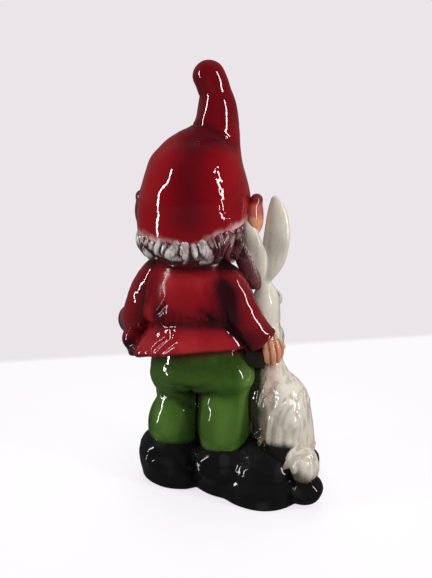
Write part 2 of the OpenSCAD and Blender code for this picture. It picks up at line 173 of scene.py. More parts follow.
def tube(keys, flat=1.0, per=5):
    """A limb through balls [x, y, z, r], flattened along Y by flat."""
    d = profile(keys, per)
    cy = d[:, 1].mean()
    d[:, 1] = cy + (d[:, 1] - cy) / flat
    start, along = d[:-1, :3], d[1:, :3] - d[:-1, :3]
    length2 = np.maximum((along * along).sum(1), 1e-9)
    radius, taper = d[:-1, 3], d[1:, 3] - d[:-1, 3]

    def f(p):
        q = p.copy()
        q[:, 1] = cy + (q[:, 1] - cy) / flat
        reach = q @ along.T - (start * along).sum(1)
        t = np.clip(reach / length2, 0, 1)
        away2 = (q * q).sum(1)[:, None] - 2 * q @ start.T + (start * start).sum(1)
        away2 = away2 - 2 * t * reach + t * t * length2
        return (np.sqrt(np.maximum(away2, 0)) - radius - taper * t).min(1) * min(flat, 1.0)
    return f


def ball(c, r):
    c, r = np.array(c, float), np.array(r, float) * np.ones(3)
    return lambda p: (np.linalg.norm((p - c) / r, axis=1) - 1) * r.min()


def union(k, *fs):
    def f(p):
        v = fs[0](p)
        for g in fs[1:]:
            v = smin(v, g(p), k)
        return v
    return f


def cut(f, g, k=0.8):
    return lambda p: smax(f(p), -g(p), k)


def blend(own, other, k, reach):
    """own flows into its neighbour: it rises in a fillet and dives just under the neighbour's skin."""
    def f(p):
        a = own(p)
        return smax(smin(a, other(p) + 0.7, k), a - reach, 2.0)
    return f


# ---------- meshing ----------


def gradient(f, p, e=0.08):
    v = f(p)
    g = np.empty((len(p), 3))
    for i in range(3):
        d = np.zeros(3)
        d[i] = e
        g[:, i] = (f(p + d) - v) / e
    return v, g


def settle(f, p, limit):
    """Moves points onto the surface f = 0 in two steps of at most limit."""
    for _ in range(2):
        v, g = gradient(f, p)
        step = (v / np.maximum((g * g).sum(1), 0.05))[:, None] * g
        size = np.linalg.norm(step, axis=1)
        p = p - step * np.minimum(1, limit / np.maximum(size, 1e-9))[:, None]
    return p


BLOCK = 4                             # cells along a block's side; blocks far from the surface are skipped
CHUNK = 60000                         # points worked on at a time


def surface_net(f, lo, hi, step):
    """Quads over the surface f = 0 inside a box (surface nets)."""
    lo, hi = np.array(lo, float) - 2 * step, np.array(hi, float) + 2 * step
    blocks = np.ceil((hi - lo) / (step * BLOCK)).astype(int)
    n = blocks * BLOCK + 1
    coarse = np.stack(np.meshgrid(*[lo[i] + step * BLOCK * (np.arange(blocks[i]) + 0.5) for i in range(3)],
        indexing="ij"), -1).reshape(-1, 3)
    middle_v = f(coarse).reshape(blocks)
    v = np.where(np.kron(middle_v, np.ones((BLOCK,) * 3)) < 0, -1.0, 1.0)
    v = np.pad(v, ((0, 1),) * 3, mode="edge")
    wanted = np.zeros(n, bool)
    # half a block's diagonal, with a margin for fields that fall short of true distance
    for o in np.argwhere(np.abs(middle_v) < step * BLOCK * 1.25):
        i, j, l = o * BLOCK
        wanted[i:i + BLOCK + 1, j:j + BLOCK + 1, l:l + BLOCK + 1] = True
    places = np.argwhere(wanted)
    for a in range(0, len(places), CHUNK):
        some = places[a:a + CHUNK]
        v[tuple(some.T)] = f(lo + step * some)
    inside = v < 0
    mixed = np.zeros(n - 1, int)
    for o in np.ndindex(2, 2, 2):
        mixed += inside[o[0]:n[0] - 1 + o[0], o[1]:n[1] - 1 + o[1], o[2]:n[2] - 1 + o[2]]
    cells = np.argwhere((mixed > 0) & (mixed < 8))
    point = np.zeros((len(cells), 3))
    count = np.zeros(len(cells))
    for axis in range(3):
        others = [i for i in range(3) if i != axis]
        for o in np.ndindex(2, 2):
            a = cells.copy()
            a[:, others[0]] += o[0]
            a[:, others[1]] += o[1]
            b = a.copy()
            b[:, axis] += 1
            va, vb = v[tuple(a.T)], v[tuple(b.T)]
            hit = (va < 0) != (vb < 0)
            t = va[hit] / (va[hit] - vb[hit])
            point[hit] += a[hit] + (b[hit] - a[hit]) * t[:, None]
            count[hit] += 1
    point = lo + step * point / count[:, None]
    index = np.full(n - 1, -1)
    index[tuple(cells.T)] = np.arange(len(cells))
    quads = []
    for axis in range(3):
        u, w = (axis + 1) % 3, (axis + 2) % 3
        first = [slice(None)] * 3
        second = [slice(None)] * 3
        first[axis], second[axis] = slice(0, n[axis] - 1), slice(1, n[axis])
        edge = np.argwhere(inside[tuple(first)] != inside[tuple(second)])
        edge = edge[(edge[:, u] > 0) & (edge[:, w] > 0) & (edge[:, u] < n[u] - 1) & (edge[:, w] < n[w] - 1)]
        corner = []
        for du, dw in ((-1, -1), (0, -1), (0, 0), (-1, 0)):
            c = edge.copy()
            c[:, u] += du
            c[:, w] += dw
            corner.append(index[tuple(c.T)])
        q = np.stack(corner, 1)
        flip = ~inside[tuple(edge.T)]
        q[flip] = q[flip][:, ::-1]
        quads.append(q)
    return point, np.concatenate(quads)


def split(points, quads):
    """Each quad becomes four."""
    pairs = np.stack([quads, np.roll(quads, -1, 1)], -1).reshape(-1, 2)
    pairs.sort(1)
    key = pairs[:, 0].astype(np.int64) * len(points) + pairs[:, 1]
    only, back = np.unique(key, return_inverse=True)
    mid = (points[only // len(points)] + points[only % len(points)]) / 2
    face = points[quads].mean(1)
    e = (len(points) + back).reshape(-1, 4)
    c = len(points) + len(mid) + np.arange(len(quads))
    out = [np.stack([quads[:, i], e[:, i], c, e[:, i - 1]], 1) for i in range(4)]
    return np.concatenate([points, mid, face]), np.concatenate(out)


def normals(points, quads):
    d = np.cross(points[quads[:, 2]] - points[quads[:, 0]], points[quads[:, 3]] - points[quads[:, 1]])
    out = np.zeros_like(points)
    for i in range(4):
        for a in range(3):
            out[:, a] += np.bincount(quads[:, i], d[:, a], len(points))
    return out / np.maximum(np.linalg.norm(out, axis=1), 1e-12)[:, None]


def sculpt(node, f, material, relief, masks, grow=6.0, step=None):
    """Meshes f round its CAD node, presses the relief into it and stores the paint masks, held to 0 to 1."""
    lo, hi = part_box(node)
    lo = (np.array(lo) * 1000 - ORIGIN) / K - grow
    hi = (np.array(hi) * 1000 - ORIGIN) / K + grow
    s = (step or STEP) * (QUICK_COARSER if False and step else 1)
    p, q = surface_net(f, lo, hi, s)
    p = settle(f, p, s)
    p, q = split(p, q)
    p = settle(f, p, s / 2)
    if relief:
        p = p + normals(p, q) * relief(p)[:, None]
    mesh = bpy.data.meshes.new(node + "_skin")
    mesh.vertices.add(len(p))
    mesh.vertices.foreach_set("co", world(p).astype(np.float32).ravel())
    mesh.loops.add(q.size)
    mesh.loops.foreach_set("vertex_index", q.astype(np.int32).ravel())
    mesh.polygons.add(len(q))
    mesh.polygons.foreach_set("loop_start", np.arange(0, q.size, 4, dtype=np.int32))
    mesh.polygons.foreach_set("loop_total", np.full(len(q), 4, np.int32))
    mesh.polygons.foreach_set("use_smooth", np.ones(len(q), bool))
    mesh.update(calc_edges=True)
    mesh.validate()
    for name, mask in masks.items():
        layer = mesh.attributes.new(name, "FLOAT", "POINT")
        layer.data.foreach_set("value", np.clip(mask(p), 0, 1).astype(np.float32))
    mesh.materials.append(material)
    piece = bpy.data.objects.new(node + "_sculpt", mesh)
    bpy.context.scene.collection.objects.link(piece)
    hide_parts(node)
    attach(piece, "root")


# ---------- shader nodes and paint ----------


def add_node(tree, kind, feeds, **settings):
    """Adds a shader node. feeds are (input, value or another node's output) pairs."""
    node = tree.nodes.new("ShaderNode" + kind)
    for setting, value in settings.items():
        setattr(node, setting, value)
    for name, value in feeds:
        if isinstance(value, bpy.types.NodeSocket):
            tree.links.new(value, node.inputs[name])
        else:
            node.inputs[name].default_value = value
    return node


def paint(name, rgb, layers, mottle=0.12, gloss=1.0, haze=0.03):
    """Glossy lacquer. layers are (mask name, colour) pairs laid on in order, with uneven sprayed edges."""
    m = bpy.data.materials.new(name)
    m.use_nodes = True
    tree = m.node_tree
    shader = tree.nodes["Principled BSDF"]
    for socket, value in (("Roughness", 0.5), ("Specular IOR Level", 0.0), ("Coat Weight", gloss),
            ("Coat Roughness", haze), ("Coat IOR", 1.5)):
        shader.inputs[socket].default_value = value
    place = add_node(tree, "TexCoord", ()).outputs["Object"]

    def cloud(size, detail):
        """Noise with lumps of size millimetres."""
        feeds = (("Scale", 1000 / size), ("Detail", detail), ("Vector", place))
        return add_node(tree, "TexNoise", feeds).outputs["Fac"]

    def mix(mode, factor, one, two):
        return add_node(tree, "Mix", ((0, factor), (6, one), (7, two)), data_type="RGBA",
            blend_type=mode).outputs[2]

    def maths(op, one, two, clamp=False):
        return add_node(tree, "Math", ((0, one), (1, two)), operation=op, use_clamp=clamp).outputs[0]

    colour = mix("MULTIPLY", maths("MULTIPLY", cloud(14, 3), mottle * 2), (*rgb, 1), (0.45, 0.42, 0.42, 1))
    spray = maths("SUBTRACT", cloud(2.2, 4), 0.5)
    for mask, tint in layers:
        fac = add_node(tree, "Attribute", (), attribute_name=mask).outputs["Fac"]
        edge = maths("MULTIPLY", maths("MULTIPLY", fac, maths("SUBTRACT", 1.0, fac)), 2.0)
        fac = maths("ADD", fac, maths("MULTIPLY", edge, spray), True)
        colour = mix("MIX", fac, colour, (*tint, 1))
    tree.links.new(colour, shader.inputs["Base Color"])
    bump = add_node(tree, "Bump", (("Strength", 0.3), ("Distance", 0.0002), ("Height", cloud(3.5, 2))))
    tree.links.new(bump.outputs["Normal"], shader.inputs["Normal"])
    tree.links.new(bump.outputs["Normal"], shader.inputs["Coat Normal"])
    return m


# The hat's darker layer is painted shade; its pale layer is the sprayed fade at the brim.
hat_paint = paint("hat_lacquer", (0.25, 0.003, 0.007),
    [("painted_shade", (0.075, 0.003, 0.006)), ("pale", (0.72, 0.40, 0.40))])
JACKET_RED = (0.24, 0.006, 0.011)
# The jacket's darker and brown layers are painted shade; its pale layer is partly painted light.
JACKET_LAYERS = [("pale", (0.42, 0.03, 0.035)), ("painted_shade", (0.022, 0.004, 0.006)),
    ("brown_shade", (0.020, 0.016, 0.011))]
jacket_paint = paint("jacket_lacquer", JACKET_RED, JACKET_LAYERS)
jacket_body_paint = paint("jacket_thin_lacquer", JACKET_RED, JACKET_LAYERS, gloss=0.4, haze=0.16)
# The trousers' darker and rust-brown layers are painted shade and the lighter one is partly painted light;
# the black layer is the spray into the shoes.
trouser_paint = paint("trouser_lacquer", (0.045, 0.105, 0.014),
    [("painted_light_and_tone", (0.10, 0.19, 0.035)), ("painted_shade", (0.012, 0.016, 0.004)), ("under_hem_shade", (0.07, 0.022, 0.012)),
    ("black", (0.008, 0.008, 0.008))])
# The black's lighter grey layer is random patches and painted highlight.
black_paint = paint("black_lacquer", (0.008, 0.008, 0.0085), [("sheen_and_mottle", (0.022, 0.022, 0.023))], mottle=0.3,
    gloss=0.55, haze=0.09)
# The skin's brown layer is painted shade on the hands.
skin_paint = paint("skin_lacquer", (0.68, 0.30, 0.17),
    [("rose", (0.42, 0.09, 0.075)), ("red", (0.13, 0.008, 0.012)), ("brown_shade", (0.05, 0.022, 0.015)),
    ("white", (0.75, 0.70, 0.66)), ("iris", (0.05, 0.028, 0.012)), ("pupil", (0.004, 0.004, 0.004))])
# The hair's groove and shade layers are both painted shade.
hair_paint = paint("hair_lacquer", (0.70, 0.66, 0.65),
    [("shade", (0.16, 0.04, 0.045)), ("groove_shade_and_mottle", (0.04, 0.010, 0.012))])
# The beard's groove layer is painted shade in the grooves between strands.
beard_paint = paint("beard_lacquer", (0.72, 0.69, 0.66), [("groove_shade_and_mottle", (0.24, 0.20, 0.18))])
# The rabbit's groove, grey and part of its black layers are painted shade.
rabbit_paint = paint("rabbit_lacquer", (0.72, 0.66, 0.57),
    [("groove_shade_and_mottle", (0.36, 0.31, 0.235)), ("pink", (0.42, 0.17, 0.15)), ("grey_shade_and_mist", (0.15, 0.125, 0.085)),
    ("red", (0.13, 0.008, 0.014)), ("black", (0.009, 0.0095, 0.007))])
# The buttons' darker layer is painted shade in their grooves.
gold_paint = paint("button_lacquer", (0.55, 0.33, 0.06), [("painted_shade", (0.10, 0.05, 0.01))])

# ---------- drawing marks on the surfaces ----------

BACK, FRONT = 1, -1


def drawn(p, points, width):
    """A soft stroke, 0 to 1, along a line drawn in X and Z."""
    best = np.full(len(p), 1e9)
    q = p[:, [0, 2]]
    for a, b in zip(points[:-1], points[1:]):
        a, b = np.array(a, float), np.array(b, float)
        ab = b - a
        t = np.clip((q - a) @ ab / (ab @ ab), 0, 1)
        best = np.minimum(best, np.linalg.norm(q - a - t[:, None] * ab, axis=1))
    return np.exp(-(best / width) ** 2)


def line_mark(p, points, width, side=BACK):
    """A stroke on the back or on the front only."""
    return drawn(p, points, width) * smooth_step(-2, 6, side * p[:, Y])


def strokes(p, lines, side=BACK):
    """Adds up strokes (points, width, height)."""
    total = np.zeros(len(p))
    for points, width, height in lines:
        total += height * line_mark(p, points, width, side)
    return total


def spot(p, c, r):
    """A soft round patch, 1 in its middle."""
    return np.exp(-((((p - np.array(c, float)) / r) ** 2).sum(1)))


def sag(p, amount, seed):
    """The slow unevenness of a slip-cast, hand-fettled skin."""
    return amount * (noise(p, 17, seed) + 0.5 * noise(p, 7, seed + 1))


def combed(p, across, size, seed):
    """Rounded strands side by side along the coordinate across, wandering a little, 0 in a groove."""
    wander = 0.8 * noise(p, (size * 4, size * 4, size * 6), seed) + 0.3 * noise(p, size * 1.7, seed + 1)
    return np.abs(np.sin(math.pi * (across / size + wander))) ** 0.7


def part(whole, region, lift=0.0):
    """The stretch of a continuous skin that one casting shows; a lift of 0.1 lays it over its neighbour."""
    return lambda p: smax(whole(p) - lift, region(p), 0.8)


# ---------- ground: plinth, heels, mound and shoes ----------

OUTLINE = [(70, -6), (64, 6), (53, 17), (38, 28), (25, 29), (14, 24), (-3, 31), (-21, 38), (-43, 40),
    (-58, 31), (-64, 15), (-74, 0), (-76, -22), (-70, -46), (-40, -57), (0, -60), (40, -60), (64, -44)]
OUTLINE_Y = -12                       # the outline is read as angles and radii round this point of the Y axis
ring = profile([(x, y, 0) for x, y in OUTLINE + OUTLINE[:3]], 6)[6:-6] - np.array([0, OUTLINE_Y, 0])
order = np.argsort(np.arctan2(ring[:, 1], ring[:, 0]))
ring_angle, ring_radius = np.arctan2(ring[:, 1], ring[:, 0])[order], np.hypot(ring[:, 0], ring[:, 1])[order]
LOW = -PLINTH_H


def plinth_shape(p):
    a = np.arctan2(p[:, Y] - OUTLINE_Y, p[:, X])
    radius = np.interp(a, ring_angle, ring_radius, period=2 * math.pi)
    side = (np.hypot(p[:, X], p[:, Y] - OUTLINE_Y) - radius) * 0.92
    return smax(side, np.maximum(p[:, Z] - 0.3, LOW - p[:, Z]), 7.0)


def shoe_shape(x, y, turn):
    t = math.radians(turn)
    rings = [(27, 9, 5), (25, 15, 9), (17, 20, 12), (3, 22, 13), (-14, 22, 12.5), (-32, 21, 12),
        (-44, 16, 10), (-51, 7, 6)]
    d = profile([(-s, w, h) for s, w, h in rings])

    def f(p):
        dx, dy = p[:, X] - x, p[:, Y] - y
        along = -(dy * math.cos(t) - dx * math.sin(t))
        across = dx * math.cos(t) + dy * math.sin(t)
        w, h = np.interp(along, d[:, 0], d[:, 1]), np.interp(along, d[:, 0], d[:, 2])
        side = (np.hypot(across / w, (p[:, Z] - h) / h) - 1) * np.minimum(w, h)
        return smax(side, np.maximum(along - d[-1, 0], d[0, 0] - along), 3.0)
    return f


shoe_l, shoe_r = shoe_shape(43, 1, 8), shoe_shape(-5, 9, -3)
heel_l = stack([[41, 4, LOW, 24, 23], [42, 4, -6, 26, 24.5], [42, 4, 6, 26.5, 24], [42, 3, 15, 24, 21],
    [41, 2, 22, 18, 15]], 5)
heel_r = stack([[-5, 9, LOW, 22, 22], [-5, 9, -2, 23.5, 22.5], [-5, 9, 9, 23, 21], [-4, 8, 17, 20, 17]], 5)
mound = stack([[-38, 15, LOW, 27, 26], [-38, 15, 6, 27, 26], [-40, 15, 14, 26.5, 24], [-42, 14, 20, 23, 19.5],
    [-37, 9, 25, 18, 17], [-34, 7, 30, 10, 11]], 4)
tail_rest = ball((-70, 20, -2), (16, 14, 12))


def ground(p):
    k = 2.5 + 5.0 * fade(p, Y, -14, 12)
    v = smin(plinth_shape(p), shoe_l(p), k)
    v = smin(v, heel_l(p), k)
    w = smin(shoe_r(p), heel_r(p), k)
    v = smin(v, w, 3.5)
    v = smin(v, mound(p), 7.0)
    v = smin(v, tail_rest(p), 5.0)
    return smax(v, LOW - p[:, Z], 2.0)


def ground_relief(p):
    side = fade(p, Z, LOW, LOW + 4)
    v = sag(p, 0.75, 3) + 0.35 * noise(p, (9, 9, 5), 31)
    v += strokes(p, [([(16, 22), (17, 4), (15, -14)], 2.2, -1.6),
        ([(62, 12), (48, 11), (34, 12), (24, 11)], 1.6, -0.9), ([(58, 7), (44, 6), (30, 8)], 1.6, 0.7),
        ([(10, 12), (-4, 10), (-20, 13)], 2.0, -0.9), ([(8, 6), (-6, 5), (-20, 7)], 2.2, 0.7),
        ([(-52, 15), (-58, 13), (-64, 14)], 3.0, 1.2), ([(-58, 26), (-64, 8), (-62, -8)], 2.4, -1.3)])
    rough = spot(p, (-28, 27, 20), np.array([11, 12, 12]))
    v += rough * 0.9 * (ripple(p, 4.5, 33) - 0.5)
    return v * side


# Lighter grey on the black: random patches, and painted highlight squiggles on the rough patch beside the
# rabbit.
sheen_and_mottle = {
    "sheen_and_mottle": lambda p: 0.6 * smooth_step(0.2, 0.9, noise(p, 11, 5))
        + 0.8 * spot(p, (-28, 27, 20), 9.0) * ripple(p, 3.2, 6),
}
sculpt("base_plinth", ground, black_paint, ground_relief, sheen_and_mottle, grow=12)
sculpt("left_shoe", part(ground, lambda p: shoe_l(p) - 1.5, 0.12), black_paint, ground_relief, sheen_and_mottle)
sculpt("right_shoe", part(ground, lambda p: shoe_r(p) - 1.5, 0.12), black_paint, ground_relief, sheen_and_mottle)

# ---------- trousers ----------

leg_l = stack([[38, 3, 13, 16, 16], [38.5, 3, 18, 19.5, 19], [39, 3, 26, 21.8, 22.4], [38.8, 3, 36, 21.8, 22],
    [38, 3, 45, 20.2, 19.8], [36.5, 3, 54, 17.4, 16.6], [36.5, 3, 62, 18.8, 17.6], [36, 3, 76, 21, 22]], 6.0)
leg_r = stack([[-3, 6, 13, 17, 17], [-3.5, 6, 18, 20, 20], [-3.5, 6, 26, 21, 23.4], [-3.5, 6, 36, 21.5, 24],
    [-4, 6, 48, 21.8, 22], [-4.5, 6, 58, 21.2, 18.6], [-4, 5, 67, 21.2, 17.6], [-1, 4, 76, 22, 21]], 6.0)
seat = union(6.0, stack([[16, 4, 66, 39, 22], [15.5, 4, 77, 42, 27], [16, 3, 88, 41, 27],
    [18, 2, 100, 37, 25], [18, 2, 108, 33, 23]], 5.0), ball((-11, 6, 79), (16.5, 20, 15)))
web = ball((17, 0, 42), (7, 12, 34))
SPLIT_X = 17.3                        # between the trouser legs
trousers = union(5.0, seat, leg_l, leg_r, web)


def trouser_relief(p):
    v = sag(p, 0.45, 7)
    v += strokes(p, [([(17, 72), (16, 50), (16, 20)], 3.0, -1.6), ([(44, 59), (32, 57), (22, 50)], 2.4, -1.2),
        ([(46, 53), (34, 52), (25, 45)], 3.5, 0.8), ([(55, 62), (44, 60)], 3.0, -1.0),
        ([(-2, 68), (6, 66), (13, 62)], 2.6, -1.1), ([(4, 60), (0, 54), (2, 44)], 3.5, 0.8),
        ([(46, 74), (34, 71), (22, 72)], 3.5, -0.8), ([(12, 73), (2, 76), (-8, 84)], 3.0, -0.7),
        ([(-14, 93), (-20, 86), (-24, 76)], 3.5, 1.0), ([(50, 30), (40, 24), (28, 27)], 3.0, -0.5),
        ([(8, 30), (-6, 24), (-20, 28)], 3.0, -0.5)])
    v += strokes(p, [([(17, 80), (17, 20)], 2.5, -1.5), ([(50, 54), (32, 50)], 3.0, -1.2),
        ([(10, 54), (-12, 50)], 3.0, -1.2)], FRONT)
    return v


trouser_masks = {
    # lighter green: random patches, and painted light along the right leg's edge by the rabbit and on both
    # lower legs
    "painted_light_and_tone": lambda p: 0.9 * fade(p, X, -17, -25) + 0.3 * smooth_step(0, 0.8, noise(p, 12, 8))
        + strokes(p, [([(44, 46), (41, 30)], 9, 0.5), ([(-10, 50), (-8, 30)], 9, 0.55)]),
    # painted shade under the jacket's hem, down the left leg's outer side, between the legs and in the
    # creases
    "painted_shade": lambda p: 0.55 * fade(p, Z, 74, 92) + 0.7 * fade(p, X, 48, 60)
        + line_mark(p, [(17, 80), (17, 20)], 4, FRONT)
        + strokes(p, [([(17, 64), (16, 18)], 5.5, 1), ([(30, 66), (17, 70), (6, 70)], 7, 0.45),
        ([(44, 59), (32, 57), (22, 50)], 2.5, 0.5)]),
    # painted shade: rust-brown just under the jacket's hem
    "under_hem_shade": lambda p: 0.75 * smooth_step(6.5, 1.0, skirt_outer(p) + 2 * noise(p, 8, 9)),
    "black": lambda p: smooth_step(26, 16.5, p[:, Z] + 2.5 * noise(p, 9, 10)),
}

# ---------- jacket ----------

WAIST, COLLAR = 118, 168
skirt_outer = stack([[25, 2, 92, 51, 33, -14, 9], [24.5, 2, 96, 51, 33, -14, 8], [21, 2, 107, 44, 30, -13, 6],
    [19, 2, WAIST + 3, 36, 25, -12, 5]], 3.0)
pocket_bulge = ball((76, -6, 98), (9, 15, 12))


def hem_corner(p):
    """The boxy end of the hem behind the right hand, flat below and pointed at its far side."""
    half = np.full((len(p), 3), (12.5, 6.5, 5.5))
    half[:, X] -= 0.35 * np.clip(p[:, Z] - 90, 0, 10)
    over = np.abs(p - np.array([-32, 5, 94.5])) - half
    return np.linalg.norm(np.maximum(over, 0), axis=1) + np.minimum(over.max(1), 0) - 1.2


skirt = union(3.0, cut(union(5.0, skirt_outer, pocket_bulge), lambda p: seat(p) - 0.5), hem_corner)
torso = stack([[19, 2, WAIST - 4, 35, 24, -12, 5], [20, 2, 124, 39.5, 27.5, -11, 4],
    [20, 2, 138, 37.5, 27.5, -6, 2], [21, 2, 150, 34.5, 26, -2, 0], [22, 2, 160, 29, 22],
    [22, 2, COLLAR + 2, 21, 18]], 4.0, 2.4)
collar = stack([[22, 1, 162, 27, 22], [22, 1, 166, 28, 23.5], [22, 1, 171, 26, 22]], 3.0)
LEFT_WRIST, LEFT_REACH = np.array([82, -20, 108.0]), np.array([6, -9, -3]) / math.sqrt(126)
RIGHT_WRIST, RIGHT_REACH = np.array([-32, 10, 114.0]), np.array([-7, -1, -8]) / math.sqrt(114)


def sleeve_shape(keys, wrist, reach, length):
    """A sleeve with a turned, open cuff."""
    arm = tube(keys)

    def f(p):
        along = (p - wrist) @ reach
        away = np.linalg.norm(p - wrist - along[:, None] * reach, axis=1)
        v = arm(p) - 0.8 * np.exp(-((along - length + 1.5) / 2.2) ** 2)
        v = smax(v, along - length, 1.2)
        return smax(v, -np.maximum(away - 8.5, length - 5 - along), 1.5)
    return f


CUFF_L, CUFF_R = 7.5, 6.5             # how far each cuff reaches past the wrist
sleeve_l = sleeve_shape([[47, 3, 160, 8], [52, 3, 156, 11], [59, 3, 144, 12.7], [65, 2, 130, 13.3],
    [70, -2, 119, 13.3], [76, -11, 112, 12.8], [82, -20, 108, 12.2], [86, -26, 106, 12]], LEFT_WRIST,
    LEFT_REACH, CUFF_L)
sleeve_r = sleeve_shape([[-2, 6, 160, 8], [-7, 7, 155, 11], [-14, 9, 143, 12.2], [-20, 11, 131, 12.8],
    [-26, 11, 121, 12.2], [-32, 10, 113, 11.5], [-37, 9, 107, 11]], RIGHT_WRIST, RIGHT_REACH, CUFF_R)
bodice = union(2.0, torso, collar)


def jacket(p):
    return smin(smin(smin(bodice(p), sleeve_l(p), 8.0), sleeve_r(p), 4.0), skirt(p), 2.0)


def waist_level(p):
    """Height above the sloping waist line."""
    fall_back, fall_aside = math.tan(math.radians(12)), math.tan(math.radians(5))
    return p[:, Z] - WAIST - fall_back * (p[:, Y] - 2) + fall_aside * (p[:, X] - 19)


WAIST_LINE = [(53, 117), (42, 119), (29, 121), (16, 122), (5, 122.5), (-10, 121), (-19, 117)]


def jacket_relief(p):
    v = sag(p, 0.55, 11)
    on_torso = smooth_step(3.0, 0.5, torso(p))
    up_waist = waist_level(p)
    gather = np.exp(-((up_waist - 4) / 5.0) ** 2) * smooth_step(-1, 1, up_waist)
    v += on_torso * gather * 1.0 * (combed(p, p[:, X], 6.5, 41) - 0.45)
    below = np.exp(-((up_waist + 5) / 6.0) ** 2) * smooth_step(1, -1, up_waist)
    v += below * 0.35 * (combed(p, p[:, X], 9.0, 43) - 0.5) * smooth_step(3, 0.5, skirt_outer(p))
    v += strokes(p, [(WAIST_LINE, 1.6, -0.9), ([(48, 124), (42, 134), (36, 143)], 2.2, 0.5),
        ([(48, 121), (38, 128), (28, 134)], 2.2, 0.5), ([(49, 118), (36, 122)], 1.8, 0.5),
        ([(46, 126), (36, 137)], 1.8, -0.5), ([(-4, 127), (4, 136), (9, 146)], 2.0, 0.6),
        ([(-3, 124), (8, 129), (17, 131)], 2.0, 0.6), ([(-5, 132), (1, 144), (4, 153)], 2.0, 0.5),
        ([(-2, 126), (8, 134)], 1.6, -0.6), ([(40, 160), (22, 157), (2, 160)], 3.0, 0.5),
        ([(36, 112), (47, 104), (46, 97)], 2.0, 1.0), ([(28, 115), (38, 106), (43, 99)], 1.8, 1.0),
        ([(26, 106), (36, 99), (50, 91)], 2.2, 0.9), ([(44, 113), (56, 103), (63, 92)], 2.6, 0.6),
        ([(31, 113), (42, 104)], 1.3, -0.7), ([(27, 110), (40, 98)], 1.3, -0.6),
        ([(52, 108), (58, 96)], 1.6, -0.6), ([(2, 112), (-4, 104)], 3.0, 0.4),
        ([(-14, 113), (-22, 106)], 2.5, 0.5), ([(66, 100), (70, 88)], 2.4, -1.2),
        ([(60, 88), (68, 92)], 2.0, -0.8)])
    v += strokes(p, [([(20, 164), (20, 140), (20, 110), (24, 92)], 1.3, -1.3),
        ([(23, 164), (23, 112), (27, 94)], 2.5, 0.5), ([(46, 150), (38, 136)], 2.5, 0.7),
        ([(-6, 150), (4, 138)], 2.5, 0.7)], FRONT)
    for sleeve, bend in ((sleeve_l, (66, 2, 124)), (sleeve_r, (-24, 11, 125))):
        on = smooth_step(2.0, 0.3, sleeve(p))
        v += on * spot(p, bend, 14) * 0.8 * (ripple(p, (14, 14, 6), 45) - 0.6)
    return v


def under(a, b, reach):
    """1 in the crease where the skins of two shapes meet."""
    return lambda p: smooth_step(reach, 0.5, np.maximum(a(p), b(p)))


pit_l, pit_r = under(torso, sleeve_l, 10.0), under(torso, sleeve_r, 10.0)
hem_r = under(skirt_outer, sleeve_r, 8.0)


def cuff_mark(p, wrist, reach, length):
    """A pale line round a cuff's edge."""
    line = np.exp(-(((p - wrist) @ reach - length + 0.6) / 0.9) ** 2)
    return line * smooth_step(16, 13, np.linalg.norm(p - wrist, axis=1))


def jacket_shadow(p):
    """Painted shade: darker under the arms, at the collar, the waist and the hem, and down the front."""
    v = (0.6 * pit_l(p) + 0.95 * pit_r(p)) * fade(p, Z, 166, 148) + 0.8 * fade(p, Z, 159, 166)
    v += 0.6 * hem_r(p) + strokes(p, [
        (WAIST_LINE, 3.0, 0.6), ([(38, 129), (2, 129)], 8.5, 0.45), ([(46, 150), (44, 128)], 7, 0.4),
        ([(-3, 152), (-2, 130)], 6, 0.45), ([(46, 126), (36, 137)], 4, 0.25),
        ([(-2, 126), (8, 134)], 4, 0.25)])
    v += line_mark(p, [(20, 164), (20, 108), (24, 92)], 1.6, FRONT)
    v += 0.3 * smooth_step(3, 0.3, np.minimum(sleeve_l(p), sleeve_r(p)))
    v += 0.35 * fade(p, Z, 136, 112) * smooth_step(3, 0.3, sleeve_r(p))
    v += 0.8 * fade(p, X, 62, 74) * fade(p, Z, 112, 98)
    return v + 0.5 * fade(p, Z, 104, 90) * fade(p, X, 48, 64)


jacket_masks = {
    # lighter red: random patches, a pale line round the right cuff's edge, and painted light in a soft band
    # below the collar and another across the skirt
    "pale": lambda p: 0.3 * smooth_step(0.0, 0.8, noise(p, 18, 12))
        + 0.7 * cuff_mark(p, RIGHT_WRIST, RIGHT_REACH, CUFF_R)
        + strokes(p, [([(36, 156), (12, 155)], 6, 0.25), ([(56, 100), (20, 106), (-10, 108)], 8, 0.35)]),
    "painted_shade": jacket_shadow,
    # painted shade in the recess at the hem's corner behind the right hand, and low on the left cuff
    "brown_shade": lambda p: fade(p, X, -18, -22) * fade(p, Z, 102, 100)
        + 0.9 * fade(p, X, 80, 88) * fade(p, Z, 112, 104),
}

SEAT_LOW, LEG_HIGH, SPLIT_LAP = 68, 73, 0.4           # the trousers' pieces end a little past each other
for node, region, lift in (
        ("trouser_seat", lambda p: SEAT_LOW - p[:, Z], 0.1),
        ("left_trouser_leg", lambda p: np.maximum(p[:, Z] - LEG_HIGH, SPLIT_X - SPLIT_LAP - p[:, X]), 0.0),
        ("right_trouser_leg", lambda p: np.maximum(p[:, Z] - LEG_HIGH, p[:, X] - SPLIT_X - SPLIT_LAP), 0.0)):
    sculpt(node, part(trousers, region, lift), trouser_paint, trouser_relief, trouser_masks)
for node, region, lift, lacquer, grow in (
        ("jacket_skirt", lambda p: np.maximum(skirt(p) - 2.5, waist_level(p) - 3), 0.0, jacket_paint, 8),
        ("jacket_body", lambda p: np.maximum(bodice(p) - 2.5, -waist_level(p)), 0.08, jacket_body_paint, 6),
        ("left_sleeve", lambda p: sleeve_l(p) - 1.5, 0.14, jacket_paint, 6),
        ("right_sleeve", lambda p: sleeve_r(p) - 1.5, 0.14, jacket_paint, 6)):
    sculpt(node, part(jacket, region, lift), lacquer, jacket_relief, jacket_masks, grow)

BUTTON_X, BUTTON_Z, BUTTON_GAP = 20, 119.5, 8         # the lowest button's place, and the rise to the next


